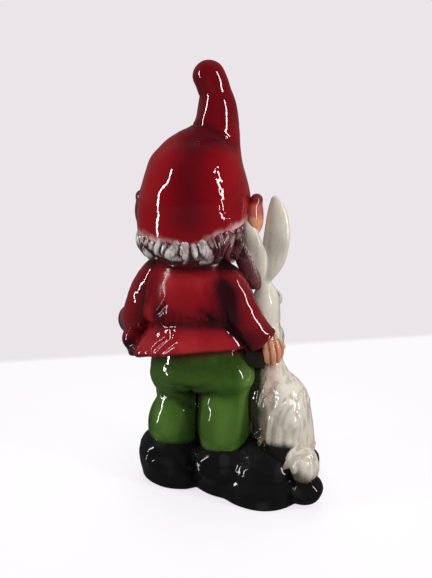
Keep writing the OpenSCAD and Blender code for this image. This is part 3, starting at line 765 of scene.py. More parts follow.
def button_shape(z):
    """A domed button with a rim and four thread holes."""
    y = -25.5 - (z < 124)

    def f(p):
        away = np.hypot(p[:, X] - BUTTON_X, p[:, Z] - z)
        v = smax(away - 3.3, np.abs(p[:, Y] - y) - 2.0, 0.8)
        v = smin(v, np.hypot(away - 2.9, p[:, Y] - y + 1.9) - 0.6, 0.3)
        for dx in (-0.9, 0.9):
            for dz in (-0.9, 0.9):
                v = smax(v, 0.45 - np.hypot(p[:, X] - BUTTON_X - dx, p[:, Z] - z - dz), 0.2)
        return v
    return f


def button_groove(p):
    """Painted shade in the groove inside each button's rim."""
    up = (p[:, Z] - BUTTON_Z) % BUTTON_GAP
    away = np.hypot(p[:, X] - BUTTON_X, up - BUTTON_GAP * (up > BUTTON_GAP / 2))
    return smooth_step(0.9, 0.3, np.abs(away - 2.2))


buttons = union(0.1, *[button_shape(BUTTON_Z + BUTTON_GAP * i) for i in range(3)])
sculpt("jacket_buttons", buttons, gold_paint, None, {"painted_shade": button_groove}, step=0.8, grow=3)

# ---------- hands ----------


def hand_relief(p):
    return 0.12 * noise(p, 5, 51)


fingers_r = [tube([[-38, 14, 109, 3.2], [-39.5, 14.5, 101.5, 3.1], [-40, 12.5, 95, 2.7]]),
    tube([[-41.5, 13, 109, 3.3], [-43.2, 13, 101, 3.2], [-43.3, 11, 93.5, 2.7]]),
    tube([[-44.5, 10.5, 109, 3.2], [-46.4, 10, 102, 3.1], [-46.2, 8.5, 95, 2.6]]),
    tube([[-46, 6.5, 108, 3.0], [-47.8, 5.5, 102, 2.9], [-47.5, 5, 97, 2.4]])]
hand_r = union(0.9, union(3.0, ball((-38, 9, 110), (8, 6.5, 8)), ball((-41, 8.5, 103), (6.5, 6, 7))),
    *fingers_r)
fingers_l = [tube([[88, -30, 104, 3.4], [91, -36, 100, 3.4], [90, -38, 94, 3.0]]),
    tube([[85, -32, 102, 3.4], [87, -39, 98, 3.4], [86, -40, 91.5, 3.0]]),
    tube([[81, -32, 100, 3.3], [82, -39, 96, 3.3], [82, -39.5, 90, 2.8]]),
    tube([[77, -30, 99, 3.1], [78, -36, 95, 3.1], [78.5, -36, 90.5, 2.6]])]
hand_l = union(1.0, union(3.0, ball((85, -27, 105), (7.5, 8, 7)), ball((83, -31, 99), (7, 6, 6)),
    ball((89, -24, 105), (5.5, 7, 4.5))), *fingers_l)


def creases(fingers):
    """1 between two fingers that touch."""
    return lambda p: smooth_step(1.5, 0.2, np.diff(np.sort([f(p) for f in fingers], 0)[:2], axis=0)[0])


creases_r, creases_l = creases(fingers_r), creases(fingers_l)
# The right hand's brown is painted shade between its fingers; the left hand's is painted shade over the back
# of the hand under the cuff and between its fingers.
sculpt("right_hand", hand_r, skin_paint, hand_relief,
       {"rose": lambda p: 0.5 * fade(p, X, -39, -35) + 0.4 * smooth_step(0, 1, noise(p, 7, 52)),
        "brown_shade": lambda p: 0.75 * creases_r(p) * fade(p, X, -36, -41)}, step=1.4)
sculpt("left_hand", hand_l, skin_paint, hand_relief,
       {"brown_shade": lambda p: 0.9 * fade(p, Y, -36, -29) + 0.5 * creases_l(p)}, step=1.4)

# ---------- head and face ----------

EYE_X, EYE_Z = 11.0, 190.2            # each eye's place beside the face's middle and its height
head_ball = ball((HEAD_X, HEAD_Y, 203), 34)


def mirrored(p):
    """Folds the face's left half onto its right, so that a shape is made once for both."""
    q = p.copy()
    q[:, 0] = HEAD_X + np.abs(p[:, X] - HEAD_X)
    return q


cheek = ball((HEAD_X + 14, -24.5, 183), (9, 7.5, 7.5))
eyeball = ball((HEAD_X + EYE_X, -25.2, EYE_Z), 4.6)
upper_lid = tube([[HEAD_X + EYE_X - 4.6, -28.6, EYE_Z + 0.4, 0.9], [HEAD_X + EYE_X, -29.8, EYE_Z + 2.9, 1.3],
    [HEAD_X + EYE_X + 4.6, -27.4, EYE_Z + 0.6, 0.9]])
lower_lid = tube([[HEAD_X + EYE_X - 4.4, -28.6, EYE_Z - 0.2, 0.7], [HEAD_X + EYE_X, -29.6, EYE_Z - 2.6, 0.9],
    [HEAD_X + EYE_X + 4.4, -27.4, EYE_Z, 0.7]])


def face(p):
    q = mirrored(p)
    v = smin(head_ball(p) + 0.9 * spot(q, (HEAD_X + EYE_X, -28.5, EYE_Z), 6.0), cheek(q), 5.0)
    v = smin(v, eyeball(q), 0.4)
    return smin(v, smin(upper_lid(q), lower_lid(q), 0.6), 0.8)


def eye_disc(p, radius):
    """The iris or the pupil, painted on the eyeball."""
    q = mirrored(p)
    away = np.hypot(q[:, 0] - HEAD_X - EYE_X + 0.3, q[:, 2] - EYE_Z)
    disc = smooth_step(radius + 0.25, radius - 0.25, away) * (q[:, 1] < -20)
    return disc * smooth_step(0.5, 0.1, eyeball(q))


def eye_white(p):
    q = mirrored(p)
    away = np.hypot(q[:, X] - HEAD_X - EYE_X, p[:, Z] - EYE_Z)
    return smooth_step(0.35, 0.1, eyeball(q)) * (p[:, Y] < -20) * smooth_step(4.4, 3.9, away)


head_masks = {
    "rose": lambda p: 0.7 * spot(mirrored(p), (HEAD_X + 15, -28, 184), 7.5) * fade(p, Y, 0, -20),
    "white": eye_white,
    "iris": lambda p: eye_disc(p, 2.2),
    "pupil": lambda p: eye_disc(p, 1.05),
}
sculpt("head", face, skin_paint, lambda p: sag(p, 0.12, 60), head_masks, step=1.5)
nose = ball((HEAD_X, -33.5, 192.4), (6.6, 7.4, 6.2))
sculpt("nose", blend(union(2.0, nose, ball((HEAD_X - 4.6, -31, 190.6), 3.2),
    ball((HEAD_X + 4.6, -31, 190.6), 3.2)), head_ball, 2.0, reach=2.0), skin_paint, lambda p: sag(p, 0.1, 61),
    {"rose": lambda p: 0.75 * fade(p, Y, -33, -40)}, step=1.2)


def ear_shape(side, x):
    """A rounded ear with a folded rim and a hollow that opens forward."""
    body = ball((x, -6, 202), (6.5, 10.5, 15))
    hollow = ball((x + side * 3.5, -14.5, 203), (4.2, 6.5, 9))
    fold = tube([[x + side * 2, -12, 196, 1.3], [x + side * 3.4, -13, 203, 1.5],
        [x + side * 2.4, -11, 210, 1.3]])
    bump = ball((x + side * 2.0, -5, 214.6), (3.6, 4.5, 3.4))
    return union(1.2, cut(union(3.5, body, bump), hollow, 1.5), fold)


sculpt("left_ear", ear_shape(1, 65), skin_paint, lambda p: sag(p, 0.2, 62),
       {"red": lambda p: smooth_step(-12, -6, p[:, Y] + noise(p, 6, 63)),
        "rose": lambda p: 0.6 * fade(p, Y, -4, -12)}, step=1.3)
sculpt("right_ear", ear_shape(-1, -24), skin_paint, lambda p: sag(p, 0.2, 64),
    {"rose": lambda p: smooth_step(199, 205, p[:, Z] + 1.5 * noise(p, 5, 65)),
    "red": lambda p: 0.85 * smooth_step(210, 214.5, p[:, Z] + noise(p, 4, 66)) + 0.7 * fade(p, X, -24, -20),
    "white": lambda p: 0.9 * fade(p, Z, 194, 188)}, step=1.3)


def twin(f):
    """The same shape on both sides of the face."""
    return lambda p: f(mirrored(p))


def brow_hair(p):
    return combed(p, p[:, X] + 0.7 * p[:, Z], 1.8, 70)


def beard_hair(p, size=4.2, seed=72):
    """Strands that run mostly downwards, in slow waves."""
    return combed(p, p[:, X] + 1.6 * np.sin(p[:, Z] / 5.0 + p[:, X] * 0.11), size, seed)


def moustache_hair(p):
    return combed(p, p[:, Z] + 0.12 * np.abs(p[:, X] - HEAD_X), 2.3, 74)


brow = tube([[HEAD_X + 6.5, -33.2, 195.2, 1.5], [HEAD_X + 10.5, -32.6, 196.4, 2.3],
    [HEAD_X + 15, -30.6, 196.0, 2.2], [HEAD_X + 19.5, -27.4, 193.8, 1.1]])
# The eyebrows' grooves take painted shade.
sculpt("eyebrows", twin(brow), beard_paint, lambda p: 0.35 * (brow_hair(p) - 0.5),
       {"groove_shade_and_mottle": lambda p: 0.7 * smooth_step(0.5, 0.1, brow_hair(p))}, step=1.0, grow=3)


def beard_shape():
    locks = []
    for i in range(9):
        s = (i - 4) / 4
        x = HEAD_X + 25 * s
        low = 146 + 20 * abs(s) ** 1.6
        locks.append(tube([[x * 0.98 + 0.4, -23 + 7 * s * s, 184, 6.0], [x, -29.5 + 9 * s * s, 172, 6.2],
            [x + 1.6 * (-1) ** i, -31 + 9 * s * s, (172 + low) / 2, 5.4],
            [x - 5 * s - 1.5 * (-1) ** i, -28.5 + 8 * s * s, low + 3, 3.4],
            [x - 7 * s, -26 + 6 * s * s, low - 2, 1.6]]))
    full = stack([[21.5, -22, 141, 4, 3.5], [21.5, -25, 149, 11, 6.5], [21.5, -25.5, 160, 19, 8.5],
        [21.5, -24, 172, 26, 9.5], [21.5, -20, 186, 28.5, 10]], 3.0)
    return union(1.5, full, *locks)


# The beard's grooves take painted shade.
sculpt("beard", cut(beard_shape(), lambda p: head_ball(p) + 1.5, 0.5), beard_paint,
       lambda p: 0.9 * (beard_hair(p) - 0.5) + 0.27 * (beard_hair(p, 1.68, 75) - 0.5),
       {"groove_shade_and_mottle": lambda p: smooth_step(0.45, 0.1, beard_hair(p))}, step=1.5, grow=5)
moustache = tube([[HEAD_X + 1.5, -36.5, 186.6, 3.2], [HEAD_X + 7, -36.5, 184.6, 4.2],
    [HEAD_X + 13, -33.6, 182.6, 3.8], [HEAD_X + 19, -29.8, 184.4, 2.4], [HEAD_X + 22.5, -27, 188, 1.0]])
# The moustache's grooves take painted shade.
sculpt("moustache", twin(moustache), beard_paint, lambda p: 0.45 * (moustache_hair(p) - 0.5),
       {"groove_shade_and_mottle": lambda p: 0.8 * smooth_step(0.45, 0.1, moustache_hair(p))}, step=1.0, grow=4)

# ---------- hair ----------

HAIR_Y = 4.0                          # the locks hang in a ring round this point of the Y axis
LOCKS = 23
luck = np.random.default_rng(12)


def brim_z(x, y):
    """Height of the hat's lower edge: pointed low behind, arched over the ears, highest over the face."""
    c = (y - 3) / 41
    aside = np.hypot(0.954 * (x - HEAD_X) + 0.3 * (y - 3), 2.0)
    point = 7.2 * np.exp(-(aside / 12) ** 1.2) * smooth_step(0, 20, y)
    return 195.8 - 7.25 * c - 2.25 * c * c + 0.09 * (HEAD_X - x) - point


def lock(angle):
    """One curl of hair hanging from under the hat's brim; angle 0 is the back of the head."""
    bend = luck.uniform(2.0, 6.5) * (1 if luck.random() > 0.45 else -1)
    end = 174.2 + luck.uniform(-3.4, 3.4)
    thick = luck.uniform(2.8, 5.2)
    keys = []
    for drop, out, shift, r in ((0, 36.5, 0, 0.9), (0.3, 38.2, 0.15, 1.0), (0.58, 38.6, 0.75, 0.95),
            (0.8, 37.4, 0.9, 0.72), (0.95, 35.6, 0.2, 0.45), (1.0, 34.8, -0.5, 0.22)):
        a = math.radians(angle) + bend * shift / 38
        x, y = HEAD_X + out * math.sin(a), HAIR_Y + out * math.cos(a)
        top = brim_z(x, y) + 4
        keys.append([x, y, top + (end - top) * drop, thick * r])
    return tube(keys, per=4)


locks = [lock(-101 + 202 * i / (LOCKS - 1)) for i in range(LOCKS)]
hair_core = stack([[21.5, 5, 166, 22, 20], [21.5, 5, 174, 28, 26, 2, 0], [21.5, 5, 182, 35, 33, 6, 0],
    [21.5, 4, 196, 36.5, 35, 10, 0]], 2.0)
fallen_lock = tube([[-9, -1, 186, 7.5], [-15, -3, 176, 8], [-19, -4, 166, 7.8], [-22, -5, 156, 7.2],
    [-24.5, -5.5, 149, 5.2], [-26, -6, 145, 2.6]])


def hair(p):
    v = hair_core(p)
    for f in locks:
        v = smin(v, f(p), 0.7)
    v = smin(v, fallen_lock(p), 1.5)
    return smax(v, -(p[:, Y] + 13), 1.0)


def around(p):
    """Distance round the back of the head, in millimetres."""
    return 38 * np.arctan2(p[:, X] - HEAD_X, p[:, Y] - HAIR_Y)


def hair_gap(p):
    """0 between two locks or on the core, 1 on a lock's back."""
    d = np.sort(np.stack([f(p) for f in locks] + [hair_core(p) + 0.4]), 0)
    return smooth_step(0.1, 2.2, d[1] - d[0])


def strands(p):
    """Fine strands round the head, and down the fallen lock."""
    across = np.where(p[:, X] < -11, 1.25 * p[:, X] + 0.45 * p[:, Z], around(p) + 1.2 * np.sin(p[:, Z] / 4.0))
    return combed(p, across, 2.3, 80)


def hair_relief(p):
    return 0.45 * (strands(p) - 0.6) + 0.15 * noise(p, 3, 82)


FALLEN = 20                           # how far below the CAD cap of hair the fallen lock reaches
hair_masks = {
    "shade": lambda p: 0.95 * fade(p, X, 4, -10) + 0.1 + 0.35 * noise(p, 9, 83)
        + 0.6 * smooth_step(-3, 3, p[:, Z] - brim_z(p[:, X], p[:, Y])),
    # painted shade between the locks, below their ends, along the strands' grooves and on the fallen lock
    "groove_shade_and_mottle": lambda p: (1.15 - hair_gap(p) * 1.2) * fade(p, X, -24, -14)
        + fade(p, Z, 174, 171.5) * fade(p, X, -12, -8) + 0.75 * smooth_step(0.45, 0.1, strands(p))
        + 0.35 * fade(p, X, -12, -16),
}
sculpt("hair", hair, hair_paint, hair_relief, hair_masks, step=1.1, grow=FALLEN)

# ---------- hat ----------

HAT_KEYS = [[21.5, 3, 184, 39.5, 38.5, 9, 5], [21.5, 3, 191, 41.4, 40.4, 9, 5],
    [21.5, 3, 198, 42.6, 41.6, 9, 5], [21, 3, 208, 43, 42, 8, 2], [20.5, 4, 220, 41.5, 41, 6, 0],
    [19.5, 5, 232, 37.5, 38, 4, 0], [17.5, 6, 243, 31, 32], [14, 5, 253, 24.5, 25, -2, 0],
    [9, 0, 260, 17.5, 17.5]]
hat_dome = stack(HAT_KEYS, 3.5)
shoulder = ball((20.3, 4.5, 229.9), (36.8, 34, 31.3))
hump = ball((17.5, 4, 231.8), (31.8, 29, 35.6))
tip = tube([[9, -8, 234, 18.5], [6.5, -6, 250, 17.8], [4.8, -4, 268, 16.6], [4.4, -3.5, 278, 14.6],
    [4.6, -3, 285, 12.7], [4.9, -2.5, 289.5, 11.1], [7.4, -1.5, 296.3, 11.3], [9.9, -0.5, 302.4, 11.1],
    [10.6, 0, 303, 10.8]])
crown = union(3.0, hat_dome, shoulder, hump)
brim_inside = ball((21.5, 2, 183), (36, 35, 20))


def hat(p):
    v = smax(union(8.0, crown, tip)(p), 0.95 * (brim_z(p[:, X], p[:, Y]) - p[:, Z]), 2.5)
    return smax(v, -brim_inside(p), 1.2)


def hat_relief(p):
    v = 0.5 * noise(p, 18, 14) + 0.1 * noise(p, 8, 19)
    v += 0.06 * noise(p, 4.5, 15) * smooth_step(0.1, 0.6, noise(p, 22, 16))
    v += 0.55 * noise(p, (10, 10, 15), 18) * fade(p, Z, 240, 262)
    v += strokes(p, [([(14, 270), (7, 266), (0, 262.5), (-6, 259), (-11, 253)], 2.0, -0.7),
        ([(22, 282), (17, 284)], 4.0, -0.8), ([(-9, 287), (-4, 294)], 5.0, -0.6),
        ([(0, 236), (-9, 222), (-12, 205)], 6.0, 0.6), ([(47, 232), (53, 215), (54, 203)], 5.0, 0.3),
        ([(16, 300), (12, 292)], 3.0, -0.7)])
    scuff = line_mark(p, [(0, 234), (-9, 218), (-13, 203)], 7.0)
    return v + scuff * 0.45 * (ripple(p, 3.4, 17) - 0.5)


def brim_fade(p):
    s = p[:, Z] - brim_z(p[:, X], p[:, Y]) + 2.0 * noise(p, 7, 20) + 0.8 * noise(p, 2.5, 21)
    away = np.abs(p[:, X] - 14) / 30
    return smooth_step(8.5, 0.5, s) * np.clip(0.45 + 0.6 * away, 0, 1)


hat_masks = {
    "pale": lambda p: 0.95 * brim_fade(p),
    # painted shade in the crease where the tip leaves the crown and in a broad band down the back's middle,
    # darker towards the top, with random darker patches
    "painted_shade": lambda p: 0.5 * line_mark(p, [(14, 270), (0, 262.5), (-11, 253)], 3.5)
        + 0.3 * fade(p, Z, 262, 282) + 0.3 * smooth_step(0.0, 0.9, noise(p, 24, 22))
        + 0.85 * line_mark(p, [(12, 256), (11, 225), (12, 205)], 14) + 0.35 * fade(p, Z, 244, 262),
}
TIP_LOW, CROWN_HIGH = 244, 269        # the tip's piece overlaps the crown's between these heights
sculpt("hat_crown", part(hat, lambda p: np.maximum(p[:, Z] - CROWN_HIGH, crown(p) - 2.5)), hat_paint,
    hat_relief, hat_masks, grow=12)
sculpt("hat_tip", part(hat, lambda p: np.maximum(tip(p) - 2.0, TIP_LOW - p[:, Z]), 0.12), hat_paint,
    hat_relief, hat_masks, grow=8)

# ---------- rabbit ----------

body = stack([[-48, 2, -3, 20, 20], [-50, 2, 5, 22, 23], [-54, 3, 20, 22, 24], [-50.5, 2, 38, 23, 23],
    [-46, 1, 50, 24.5, 22], [-43.8, 0, 62, 23.8, 20.5], [-41, -2, 72, 21, 18], [-37, -4, 80, 16, 15.5],
    [-35, -6, 88, 12.5, 14], [-36.4, -8, 97, 10, 13.5], [-35, -10.5, 108, 10.2, 13],
    [-33, -13, 119, 9.8, 11.5], [-32.5, -13, 130, 9, 10]], 3.0)
haunch = ball((-52, 4, 44), (20, 22, 36))
skull = union(4.0, ball((-32, -11.5, 131), (10.8, 13, 18.5)), ball((-32.3, -26, 133.8), (8.4, 9, 8.4)),
    ball((-35.8, -30, 131.8), 4.8), ball((-28.2, -30, 131.8), 4.8), ball((-32, -31.5, 133), (4.6, 6, 4.4)))
rab_ear_l = tube([[-29.5, -9, 144, 3.6], [-28.3, -8, 154, 4.2], [-26, -4, 169, 7.6], [-22.8, 0, 186, 6.4],
    [-20.8, 2, 194, 4.0], [-20, 2, 198.5, 1.8]], 0.55)
rab_ear_r = tube([[-31, -10, 144, 3.6], [-32.4, -9.5, 154, 4.6], [-37.6, -8.5, 167, 8.4],
    [-40.2, -8, 181, 9.9], [-41, -8, 194, 9.3], [-40.2, -8, 207, 6.4], [-39, -8, 214, 3.2]], 0.5)
tail = ball((-71, 22.5, 17.5), (11.3, 11, 15))


def paw(keys, toe_at, toe_r):
    """A limb with three toes pressed into its end."""
    x, y, z = toe_at
    toes = [ball((x + dx, y - (dx == 0) * 0.8, z), toe_r) for dx in (-toe_r * 0.95, 0, toe_r * 0.95)]
    return union(0.7, union(2.0, tube(keys), ball((x, y + 2.5, z + 0.5), toe_r * 1.5)), *toes)


arm_l = paw([[-28, -15, 112, 5], [-27, -23, 111, 6], [-26, -31, 105, 5.5], [-25.5, -35.5, 99.5, 5]],
    (-25.5, -37, 94.5), 3.0)
arm_r = paw([[-39, -13, 108, 5], [-38.5, -21, 107, 6], [-38, -30, 101, 5.5], [-37.5, -34.5, 95.5, 5]],
    (-37.5, -36, 90.5), 3.0)
foot_l = paw([[-39, -12, 8, 7], [-37, -20, 7, 6.5], [-37, -34, 6.5, 6.2], [-37, -40, 6, 5.2]],
    (-37, -42.5, 4.6), 4.2)
foot_r = paw([[-60, -12, 8, 7], [-62, -20, 7, 6.5], [-62, -34, 6.5, 6.2], [-62, -40, 6, 5.2]],
    (-62, -42.5, 4.6), 4.2)
tufts = [tube([[-64, 25, 27, 3.6], [-59.5, 31, 20, 2.8], [-56, 34.5, 14, 1.0]]),
         tube([[-67, 28, 22, 3.2], [-63.5, 34, 16, 2.4], [-61, 36.5, 10.5, 0.9]]),
         tube([[-35, 22, 40, 2.2], [-31, 27, 34, 1.7], [-28.5, 30, 29, 0.7]]),
         tube([[-38, 23, 37, 2.2], [-36, 29, 31, 1.7], [-35, 32, 26, 0.7]])]
flank_tufts = [tube([[-33, 10, z + 9, 3.5], [-30.5, 14, z + 2, 2.4], [-27.5 + s, 17, z - 5, 0.9]])
               for z, s in ((46, -4), (36, -5))]


def rabbit(p):
    v = smin(body(p), haunch(p), 6.0)
    for f in tufts + flank_tufts:
        v = smin(v, f(p), 2.2)
    v = smin(v, skull(p), 4.0)
    v = smin(v, smin(rab_ear_l(p), rab_ear_r(p), 1.2), 2.2)
    v = smin(v, tail(p), 1.8)
    return smin(v, smin(smin(arm_l(p), arm_r(p), 2.0), smin(foot_l(p), foot_r(p), 2.0), 2.0), 1.5)


def fur(p):
    """Brushed fur: 0 to 1 locks that lean outwards down the haunch."""
    lean = p[:, X] + 0.22 * (p[:, Z] - 60) + 4.0 * noise(p, 26, 90)
    q = np.stack([lean, p[:, Y], p[:, Z]], 1)
    return 0.4 * ripple(q, (7, 7, 19), 91) + 0.6 * (0.5 + 0.75 * noise(q, (2.3, 2.3, 13), 92))


def off_tufts(p):
    """0 on the white tufts that lie over the black, 1 elsewhere."""
    return smooth_step(0.3, 1.3, np.min([f(p) for f in tufts], axis=0))


def inner_ears(p):
    """The hollow along the front of each ear."""
    left = drawn(p, [(-28, 158), (-26, 172), (-22, 190)], 3.0)
    left *= p[:, Y] < np.interp(p[:, Z], (150, 198), (-9, 1.5))
    right = drawn(p, [(-36, 160), (-41, 184), (-41, 203)], 4.0) * (p[:, Y] < -9.0)
    return left, right


EYE_R = [(-40.6, -21, 138.5), (-23.6, -21, 138.5)]        # the rabbit's eyes


def rabbit_relief(p):
    on_body = fade(p, Z, 128, 112)
    v = (0.9 * on_body + 0.2) * (fur(p) - 0.6)
    v += sag(p, 0.35, 93)
    v += strokes(p, [([(-40, 163), (-41, 180), (-42, 196)], 3.6, -1.3),
        ([(-47, 178), (-48, 192), (-45, 205)], 2.0, 0.7), ([(-27, 160), (-25, 175)], 2.6, -0.7),
        ([(-46, 82), (-58, 70), (-67, 48)], 4.0, 0.8), ([(-42, 84), (-52, 70), (-60, 50)], 5.0, 0.6),
        ([(-42, 76), (-50, 60), (-54, 40)], 5.0, -0.8)])
    left, right = inner_ears(p)
    v -= 1.4 * left + 1.8 * right
    v += strokes(p, [([(-32.3, 133), (-32.3, 129.5), (-35.5, 127)], 0.8, -0.8),
        ([(-32.3, 129.5), (-29, 127)], 0.8, -0.8)], FRONT)
    for eye in EYE_R:
        v += 1.0 * spot(p, eye, 2.8)
    return v


def left_side(p):
    """1 on the side that faces the gnome, where grey is painted as shade."""
    edge = -38.0 - 1.5 * fade(p, Z, 80, 60) + 3.0 * noise(p, (8, 8, 14), 94)
    return fade(p, X, edge - 4, edge + 3.5) * fade(p, Z, 108, 96)


def grey_shade_and_mist_mask(p):
    """Painted shade on the side that faces the gnome, on the tail's lower half and near the right ear's tip;
    a grey line down the haunch; and the mist over the black foot.
    """
    v = 0.95 * left_side(p) + 0.6 * line_mark(p, [(-42, 64), (-43, 48), (-46, 30)], 9) * (1 - 0.7 * fur(p))
    v += 0.5 * smooth_step(28, 12, p[:, Z] + 5 * noise(p, 9, 96)) * fade(p, X, -72, -60)
    half_tail = smooth_step(-6, 3, 0.75 * (p[:, X] + 73) - 0.75 * (p[:, Z] - 14))
    v += 0.9 * half_tail * smooth_step(5, 1, tail(p)) * off_tufts(p)
    return v + 0.3 * line_mark(p, [(-40, 200), (-41, 212)], 5.0)


def black_spray_and_shade(p):
    """Round the foot, low on the back and in the eyes; and, as painted shade, down the side that faces the
    gnome.
    """
    v = smooth_step(11, 3, p[:, Z] + 4 * noise(p, 8, 97)) * fade(p, Y, -8, 4)
    low = p[:, Z] + 2.5 * noise(p, (5, 5, 9), 99) + 0.15 * (p[:, X] + 42)
    v += smooth_step(36, 30, low) * fade(p, X, -66, -60) * fade(p, Y, 0, 8) * off_tufts(p)
    # painted shade: black down the side that faces the gnome, in the gap beside its leg
    flank = p[:, X] + 2 * noise(p, 8, 98) + 0.105 * np.clip(70 - p[:, Z], 0, 30)
    v += 0.93 * smooth_step(-36.5, -31.5, flank) * fade(p, Z, 101, 94)
    from_eyes = np.min([np.linalg.norm(p - np.array(e), axis=1) for e in EYE_R], axis=0)
    return v + smooth_step(2.6, 2.2, from_eyes)


rabbit_masks = {
    # painted shade in the fur's grooves, stronger low on the body, and random darker patches
    "groove_shade_and_mottle": lambda p: 0.6 * smooth_step(0.6, 0.15, fur(p)) * (0.3 + 0.7 * fade(p, Z, 128, 104))
        + 0.45 * smooth_step(0.1, 0.9, noise(p, 20, 95)),
    "pink": lambda p: 0.4 * line_mark(p, [(-40, 88), (-42, 76), (-40, 66)], 5.0)
        + 0.3 * spot(p, (-44, 10, 98), 9) + 0.9 * spot(p, (-32.3, -38.5, 134.6), 2.4)
        + 0.6 * sum(inner_ears(p)),
    "grey_shade_and_mist": grey_shade_and_mist_mask,
    "red": lambda p: line_mark(p, [(-17, 178), (-21, 162), (-27, 150)], 2.8) * (0.4 + 0.6 * fur(p)),
    "black": black_spray_and_shade,
}

HEAD_LOW, NECK_HIGH, EAR_LOW = 119.5, 122, 149        # the head begins a little below the body's end
rabbit_pieces = [                     # node, its own region, how far it stands over its neighbours, grid step
    ("rabbit_body", lambda p: np.maximum(smin(body(p), haunch(p), 6) - 5.0, p[:, Z] - NECK_HIGH), 0.0, 1.6),
    ("rabbit_head", lambda p: np.maximum(np.minimum(skull(p), body(p)) - 2.5, HEAD_LOW - p[:, Z]), 0.08, 1.4),
    ("rabbit_left_ear", lambda p: np.maximum(rab_ear_l(p) - 1.2, EAR_LOW - p[:, Z]), 0.12, 1.4),
    ("rabbit_right_ear", lambda p: np.maximum(rab_ear_r(p) - 1.2, EAR_LOW - p[:, Z]), 0.12, 1.4),
    ("rabbit_tail", lambda p: tail(p) - 1.6, 0.15, 1.4),
    ("rabbit_left_foreleg", lambda p: arm_l(p) - 1.2, 0.1, 1.4),
    ("rabbit_right_foreleg", lambda p: arm_r(p) - 1.2, 0.1, 1.4),
    ("rabbit_left_hind_foot", lambda p: foot_l(p) - 1.2, 0.1, 1.4),
    ("rabbit_right_hind_foot", lambda p: foot_r(p) - 1.2, 0.1, 1.4),
]
for node, own, lift, step in rabbit_pieces:
    sculpt(node, part(rabbit, own, lift), rabbit_paint, rabbit_relief, rabbit_masks, step=step,
           grow=9 if node == "rabbit_body" else 6)

# ---------- stage, light and camera ----------

scene = bpy.context.scene
scene.view_settings.view_transform = "Standard"
AZIMUTH, ELEVATION, DISTANCE = 196, 14, 0.56
HALF_HEIGHT, FOCAL = 289, 728         # half the 578 rows of the picture, and the lens in the same unit
a, e = math.radians(AZIMUTH), math.radians(ELEVATION)
toward = Vector((math.sin(a) * math.cos(e), -math.cos(a) * math.cos(e), math.sin(e)))
side = Vector((math.cos(a), math.sin(a), 0))          # the camera's right
middle = Vector((float(ORIGIN[0]), float(ORIGIN[1]), 165.0)) / 1000


def seen_only(tree, seen, other):
    """Only the camera sees the first shader, and reflections and light come from the other."""
    by_camera = add_node(tree, "LightPath", ()).outputs["Is Camera Ray"]
    return add_node(tree, "MixShader", ((0, by_camera), (1, other.outputs[0]),
        (2, seen.outputs[0]))).outputs[0]


def ramp_on(tree, value, stops):
    ramp = add_node(tree, "ValToRGB", (("Fac", value),))
    for i, (place, colour) in enumerate(stops):
        stop = ramp.color_ramp.elements[i] if i < 2 else ramp.color_ramp.elements.new(place)
        stop.position, stop.color = place, (*colour, 1)
    return ramp.outputs["Color"]


def pointing(tree, vector, direction):
    """How far a vector points along a direction, with -1 to 1 brought to 0 to 1."""
    dot = add_node(tree, "VectorMath", ((0, vector), (1, direction)),
        operation="DOT_PRODUCT").outputs["Value"]
    return add_node(tree, "Math", ((0, dot), (1, 0.5), (2, 0.5)), operation="MULTIPLY_ADD").outputs[0]


# The floor is a pale sheet that turns to the wall's tone past the table's far edge, and it stays dim in the
# lacquer's reflections.
WALL, TABLE = (0.83, 0.785, 0.815), (0.97, 0.955, 0.975)
EDGE = (0.451, -0.893, 0)             # points over the table's far edge
EDGE_STOP = 0.5 + 0.5 * 0.312         # the edge is 0.312 m away
paper = bpy.data.materials.new("stage_paper")
paper.use_nodes = True
tree = paper.node_tree
tree.nodes.clear()
place = add_node(tree, "TexCoord", ()).outputs["Object"]
tone = ramp_on(tree, pointing(tree, place, EDGE), ((EDGE_STOP - 0.004, TABLE), (EDGE_STOP + 0.002, WALL)))
glow = add_node(tree, "Emission", (("Color", tone),))
matt = add_node(tree, "BsdfDiffuse", (("Color", tone),))
near = add_node(tree, "VectorMath", ((0, place),), operation="LENGTH").outputs["Value"]
shadowed = ramp_on(tree, near, ((0.05, (0.72,) * 3), (0.26, (1.0,) * 3)))
sheet = add_node(tree, "MixShader", ((0, shadowed), (1, matt.outputs[0]), (2, glow.outputs[0])))
dim = add_node(tree, "Emission", (("Color", (0.92, 0.90, 0.93, 1)), ("Strength", 0.09)))
add_node(tree, "OutputMaterial", (("Surface", seen_only(tree, sheet, dim)),))
bpy.ops.mesh.primitive_plane_add(size=12, location=(0, 0, 0))
floor = bpy.context.object
floor.name = "floor"
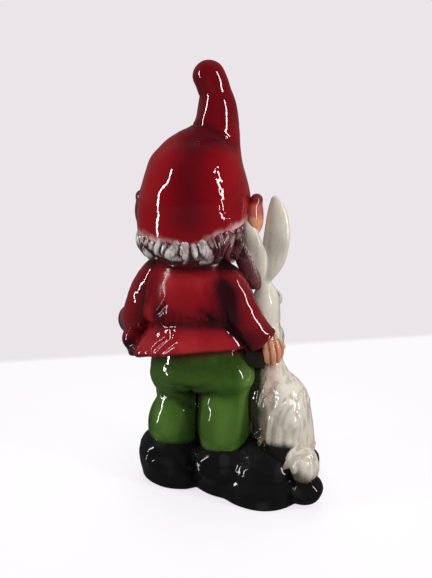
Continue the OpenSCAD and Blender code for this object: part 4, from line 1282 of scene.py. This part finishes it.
floor.data.materials.append(paper)

backdrop = bpy.data.worlds.new("studio")
backdrop.use_nodes = True
tree = backdrop.node_tree
tree.nodes.clear()
facing = pointing(tree, add_node(tree, "TexCoord", ()).outputs["Generated"], toward)
greys = [(at, (grey_shade_and_mist,) * 3) for at, grey_shade_and_mist in ((0.0, 0.13), (0.35, 0.12), (0.62, 0.07), (0.85, 0.02))]
ambient = add_node(tree, "Background", (("Color", ramp_on(tree, facing, greys)),))
seen = add_node(tree, "Background", (("Color", (*WALL, 1)),))
add_node(tree, "OutputWorld", (("Surface", seen_only(tree, seen, ambient)),))
scene.world = backdrop


def lamp(name, where, aim, size, power, mirrored_too=True):
    data = bpy.data.lights.new(name, "AREA")
    data.shape = "RECTANGLE"
    data.size, data.size_y = size
    data.energy = power
    obj = bpy.data.objects.new(name, data)
    obj.location = where
    obj.rotation_euler = (Vector(aim) - Vector(where)).to_track_quat("-Z", "Y").to_euler()
    obj.visible_glossy = mirrored_too
    scene.collection.objects.link(obj)


lamp("left_strip", middle + toward * 0.22 - side * 0.75 + Vector((0, 0, 0.10)), middle, (0.045, 0.75), 5)
lamp("right_strip", middle + toward * 0.42 + side * 0.72 + Vector((0, 0, 0.12)), middle, (0.085, 0.7), 5.5)
lamp("top_soft", middle + Vector((0, 0, 0.9)) - toward * 0.25, middle, (0.7, 0.5), 4, False)
lamp("front_fill", middle + toward * 0.85 + side * 0.15 + Vector((0, 0, 0.3)), middle, (0.9, 0.6), 4.8, False)
lamp("far_fill", middle - toward * 0.9 + Vector((0, 0, 0.6)), middle, (0.9, 0.6), 4, False)

camera = bpy.data.objects.new("photo_camera", bpy.data.cameras.new("photo_camera"))
camera.data.sensor_fit = "VERTICAL"
camera.data.angle = 2 * math.atan(HALF_HEIGHT / FOCAL)
camera.data.shift_x, camera.data.shift_y = -0.0104, -0.0087
camera.location = middle + toward * DISTANCE
camera.rotation_euler = (-toward).to_track_quat("-Z", "Y").to_euler()
scene.collection.objects.link(camera)
scene.camera = camera
